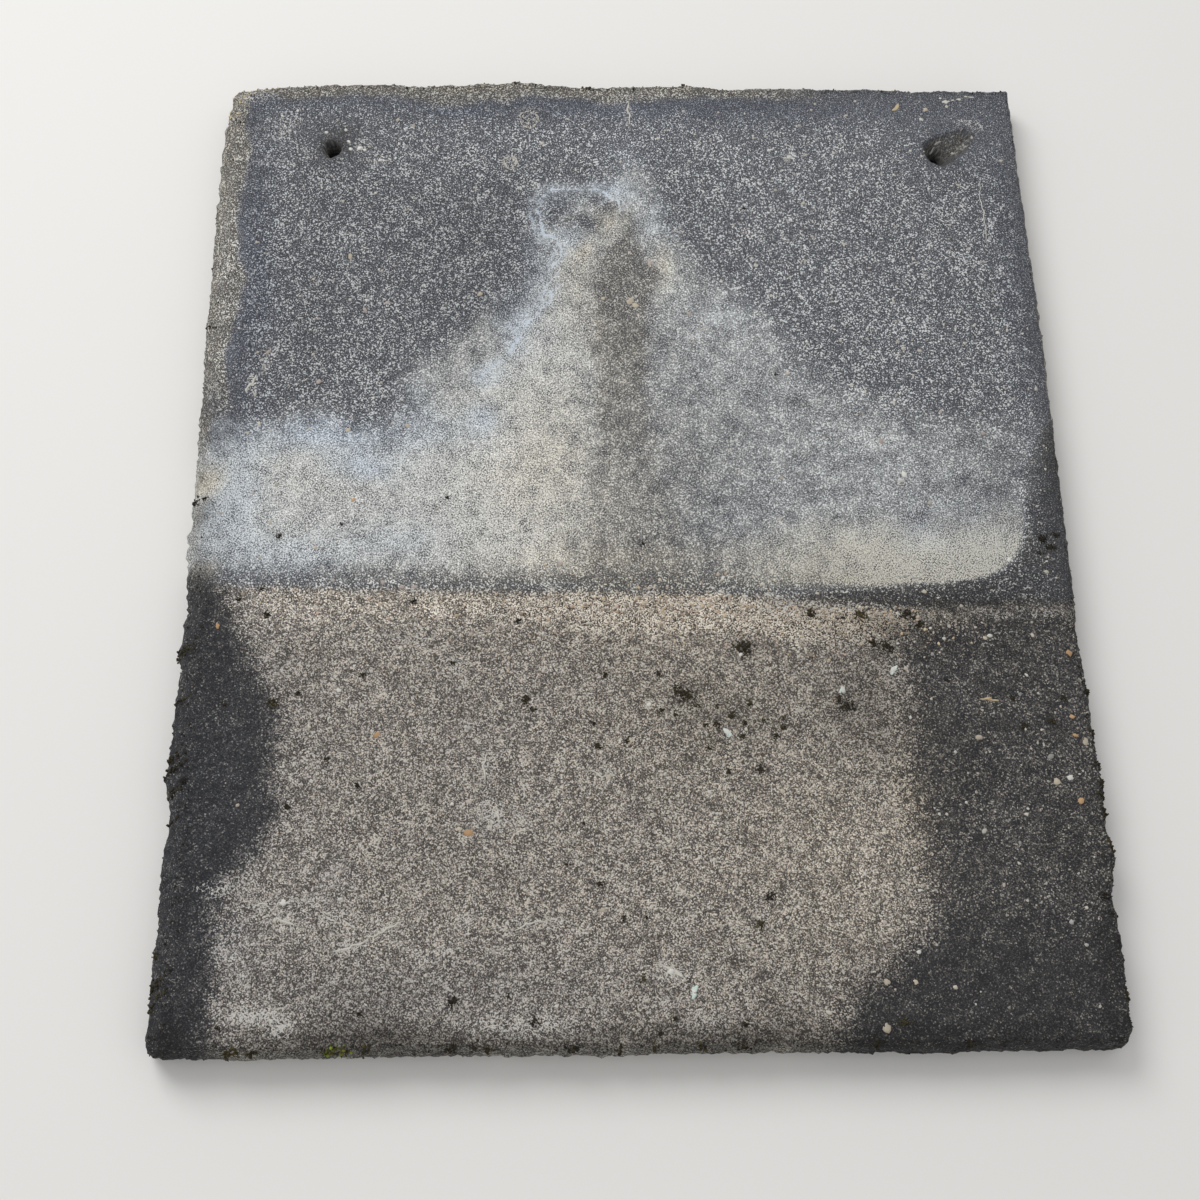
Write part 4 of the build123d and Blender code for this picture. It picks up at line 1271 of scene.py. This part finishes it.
moss = tinted_piece(
    "moss_and_crumbs", moss_points, moss_triangles.tolist(),
    moss_tint * draw.uniform(0.6, 1.25, (len(sizes), 1)),
    painted("moss", grain_size=0.35, contrast=0.7, bump_depth=0.10, roughness=0.97),
)
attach(moss, "root")

# Lime marks
# Scratches in the scar beside the right hole, with painted highlight along its upper rim, smears
# of white lime, four flakes of pale lichen and two streaks of sand. Each is a thin crust on the
# face, drawn along the line that it follows.
MARK_COLOURS = {
    "lime": (196, 193, 184), "lichen": (200, 214, 208), "sand": (186, 170, 138),
    "scratch_and_rim_highlight": (160, 158, 153),
}

# Marks: the places that each runs through, and half its greatest width
MARKS = [
    ("lime", [
        ([(3.2, 217), (2.6, 212), (3.4, 207), (2.6, 202)], 0.42),
        ([(170, 172), (168.4, 160), (169.6, 150), (169, 133)], 0.24),
        ([(-170, 55), (-168.6, 59), (-165, 64)], 0.65),
        ([(155.4, 216.8), (157.4, 217.8), (159.8, 218.5)], 1.15),
        ([(160.2, 218.4), (161.8, 219.2)], 0.55), ([(162.6, 219.2), (165.6, 220)], 0.7),
        ([(166.4, 220.4), (168, 220.6)], 0.45), ([(168.8, 220.8), (172.2, 221.4)], 0.5),
    ]),
    # Lighter lines in the scar beside the right hole: painted highlight where they run along its upper
    # rim, and scratches inside it
    ("scratch_and_rim_highlight", [
        ([(144.8, 186.4), (147.4, 189.4)], 0.35), ([(148, 190.4), (150.2, 192.6)], 0.3),
        ([(151, 193.8), (153.6, 196.4)], 0.4), ([(158, 197.6), (160.2, 199)], 0.26),
        ([(161.6, 199.8), (164.8, 201.4)], 0.26), ([(159.4, 189), (162, 190.8)], 0.26),
        ([(163.2, 191.2), (166, 193)], 0.26), ([(155, 187.6), (157, 189)], 0.2),
    ]),
    ("sand", [
        ([(131, 211.4), (132.4, 213.6), (133.8, 216)], 0.95),
        ([(143, -88), (146.6, -88.4), (150.6, -88.8)], 0.5),
    ]),
    ("lime", [
        ([(-47, -123), (-46, -127), (-46.6, -130.5)], 0.36),
        ([(-61.5, -110), (-62.4, -116), (-61.8, -123)], 0.42), ([(-58, -131), (-57.4, -134)], 0.32),
        ([(-57.5, -136), (-56, -140)], 0.4), ([(-60, -135), (-57, -136.4)], 0.34),
        ([(-56, -134.5), (-53, -135.5)], 0.28), ([(-59.4, -139), (-60, -143)], 0.36),
        ([(-49, -136), (-47, -139)], 0.42), ([(-126, -94), (-125.6, -98)], 0.4),
        ([(-77, -127), (-76.4, -131)], 0.4), ([(-20, -118), (-13, -122)], 0.4),
        ([(-32, -25), (-29, -28.5)], 0.55), ([(-4, -11), (-3.4, -19)], 0.22),
        ([(8, -197), (13, -200), (15, -202)], 1.1), ([(-107, -185), (-100, -182), (-94, -178.5)], 0.42),
        ([(-120, -190), (-113, -188.6), (-107, -186.5)], 0.5),
        ([(-142, -177), (-138, -179), (-134.6, -179.4)], 0.5), ([(-124, -176), (-119, -178.5)], 0.45),
        ([(-150, -171.5), (-145, -173)], 0.45), ([(-52, -183), (-42, -180), (-30, -177)], 0.34),
        ([(-70, -98), (-66, -98.6)], 0.3), ([(28, -34), (26.6, -30.5)], 0.3),
        ([(58, -43), (56, -40)], 0.45), ([(94, -20), (92, -17)], 0.35),
        ([(-98, -57), (-90, -61), (-84, -62)], 0.3),
    ]),
    ("lichen", [
        ([(19.4, -210), (20, -207), (20.8, -204.4)], 1.25),
        ([(84.6, -85.6), (86, -83.6), (87, -82)], 0.95),
        ([(107, -77.4), (108.4, -75), (109.4, -72.6)], 1.15),
        ([(35, -101), (37.4, -102.4), (39.4, -102.6)], 1.2),
    ]),
    ("lime", [
        ([(117, 52), (119.4, 50)], 0.6), ([(111, 41), (114, 40)], 0.4),
    ]),
]

# Stations along a mark, points round each, half its thickness and how far its middle is raised
STATIONS = 14
SECTION = 6
CRUST_LIFT = 0.12
CRUST_BED = 0.03


def crust(path, width, seed):
    """A thin closed crust along a path on the face: at the share s of its length the section is
    an ellipse, whose half width is width sin(pi s)^0.6 times an uneven 1, and the two ends close
    in a point."""
    path = np.array(path, float)
    lengths = np.concatenate([[0], np.cumsum(np.linalg.norm(np.diff(path, axis=0), axis=1))])
    share = np.arange(1, STATIONS + 1) / (STATIONS + 1)
    run = np.concatenate([[0], share, [1]]) * lengths[-1]
    line = np.stack([np.interp(run, lengths, path[:, axis]) for axis in (0, 1)], axis=1)
    flat = np.column_stack([line, np.full(len(line), 9.0 * seed)])
    line = line + 0.3 * np.stack([unevenness(flat, 4, 71), unevenness(flat, 4, 72)], axis=1)
    along = np.gradient(line, axis=0)
    along /= np.linalg.norm(along, axis=1, keepdims=True)
    sideways = np.stack([-along[:, 1], along[:, 0]], axis=1)[1:-1]
    half_width = width * np.sin(np.pi * share) ** 0.6 * (1 + 0.22 * unevenness(flat, 2, 73)[1:-1])
    half_width = np.clip(half_width, 0.08, None)
    around_section = tau * np.arange(SECTION) / SECTION
    shift = half_width[:, None, None] * np.cos(around_section)[:, None] * sideways[:, None]
    places = (line[1:-1, None] + shift).reshape(-1, 2)
    lift = np.tile(CRUST_LIFT * np.sin(around_section), STATIONS)
    places = np.column_stack([places, face_height(*places.T) + CRUST_BED + lift])
    ends = np.column_stack([line[[0, -1]], face_height(*line[[0, -1]].T) - 0.05])
    return np.concatenate([places, ends])


marks = [(kind, *mark) for kind, group in MARKS for mark in group]
ring = np.arange(SECTION)
station = SECTION * np.arange(STATIONS - 1)[:, None]
last_ring = SECTION * (STATIONS - 1) + ring
first_end = 0 * ring + SECTION * STATIONS
crust_quads = np.stack([
    station + ring, station + np.roll(ring, -1),
    station + SECTION + np.roll(ring, -1), station + SECTION + ring,
], axis=-1)
crust_fans = np.concatenate([
    np.stack([first_end, np.roll(ring, -1), ring], axis=1),
    np.stack([first_end + 1, last_ring, np.roll(last_ring, -1)], axis=1),
])
crust_points = [crust(path, width, seed) for seed, (_, path, width) in enumerate(marks)]
crust_polygons = []
for number, points in enumerate(crust_points):
    crust_polygons += (crust_quads.reshape(-1, 4) + number * len(points)).tolist()
    crust_polygons += (crust_fans + number * len(points)).tolist()
lime_marks = tinted_piece(
    "lime_marks", np.concatenate(crust_points), crust_polygons,
    np.array([shown(*MARK_COLOURS[kind]) for kind, *_ in marks]),
    painted("lime_crust", grain_size=0.5, contrast=0.5, bump_depth=0.06, roughness=0.9),
)
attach(lime_marks, "root")

# The stage
# A plain pale floor, soft studio light, and a camera where the tile was seen from. The camera's
# place is in millimetres.
FLOOR_REACH = 4
FLOOR_COLOUR = (0.8, 0.79, 0.77, 1)
FLOOR_ROUGHNESS = 0.9
ROOM_LIGHT = 0.62
LAMP_POWER = 22
LAMP_SIZE = 1.2
LAMP_PLACE = (-0.9, 1.1, 1.5)
LAMP_TURN = (radians(-43), radians(-24), 0)
CAMERA_PLACE = Vector((-39.3, -302.9, 656.9)) * MM
CAMERA_FORWARD = Vector((0.036, 0.376, -0.926)).normalized()
CAMERA_RIGHT = Vector((0.999, -0.014, 0.033))
FOCAL_PIXELS = 1631.55
FRAME_PIXELS = 1200
SENSOR_WIDTH = 36

floor_corners = [
    (FLOOR_REACH * across, FLOOR_REACH * along, 0)
    for across, along in ((-1, -1), (1, -1), (1, 1), (-1, 1))
]
floor_mesh = bpy.data.meshes.new("floor")
floor_mesh.from_pydata(floor_corners, [], [(0, 1, 2, 3)])
floor_paint = bpy.data.materials.new("floor_paint")
floor_paint.use_nodes = True
floor_surface = floor_paint.node_tree.nodes["Principled BSDF"]
floor_surface.inputs["Base Color"].default_value = FLOOR_COLOUR
floor_surface.inputs["Roughness"].default_value = FLOOR_ROUGHNESS
floor_mesh.materials.append(floor_paint)
floor = new_object("floor", floor_mesh)

world = bpy.data.worlds.new("soft_room")
world.use_nodes = True
world.node_tree.nodes["Background"].inputs["Color"].default_value = (1, 1, 1, 1)
world.node_tree.nodes["Background"].inputs["Strength"].default_value = ROOM_LIGHT
bpy.context.scene.world = world
window_light = bpy.data.lights.new("window_light", "AREA")
window_light.shape = "DISK"
window_light.size = LAMP_SIZE
window_light.energy = LAMP_POWER
lamp = new_object("window_light", window_light)
lamp.location = LAMP_PLACE
lamp.rotation_euler = LAMP_TURN

camera_data = bpy.data.cameras.new("camera")
camera_data.sensor_width = SENSOR_WIDTH
camera_data.lens = SENSOR_WIDTH * FOCAL_PIXELS / FRAME_PIXELS
camera = new_object("camera", camera_data)
backward = -CAMERA_FORWARD
sideways = (CAMERA_RIGHT - CAMERA_RIGHT.dot(backward) * backward).normalized()
upward = backward.cross(sideways)
turn = Matrix((sideways, upward, backward)).transposed()
camera.matrix_world = Matrix.Translation(CAMERA_PLACE) @ turn.to_4x4()
bpy.context.scene.camera = camera
bpy.context.scene.view_settings.view_transform = "Standard"
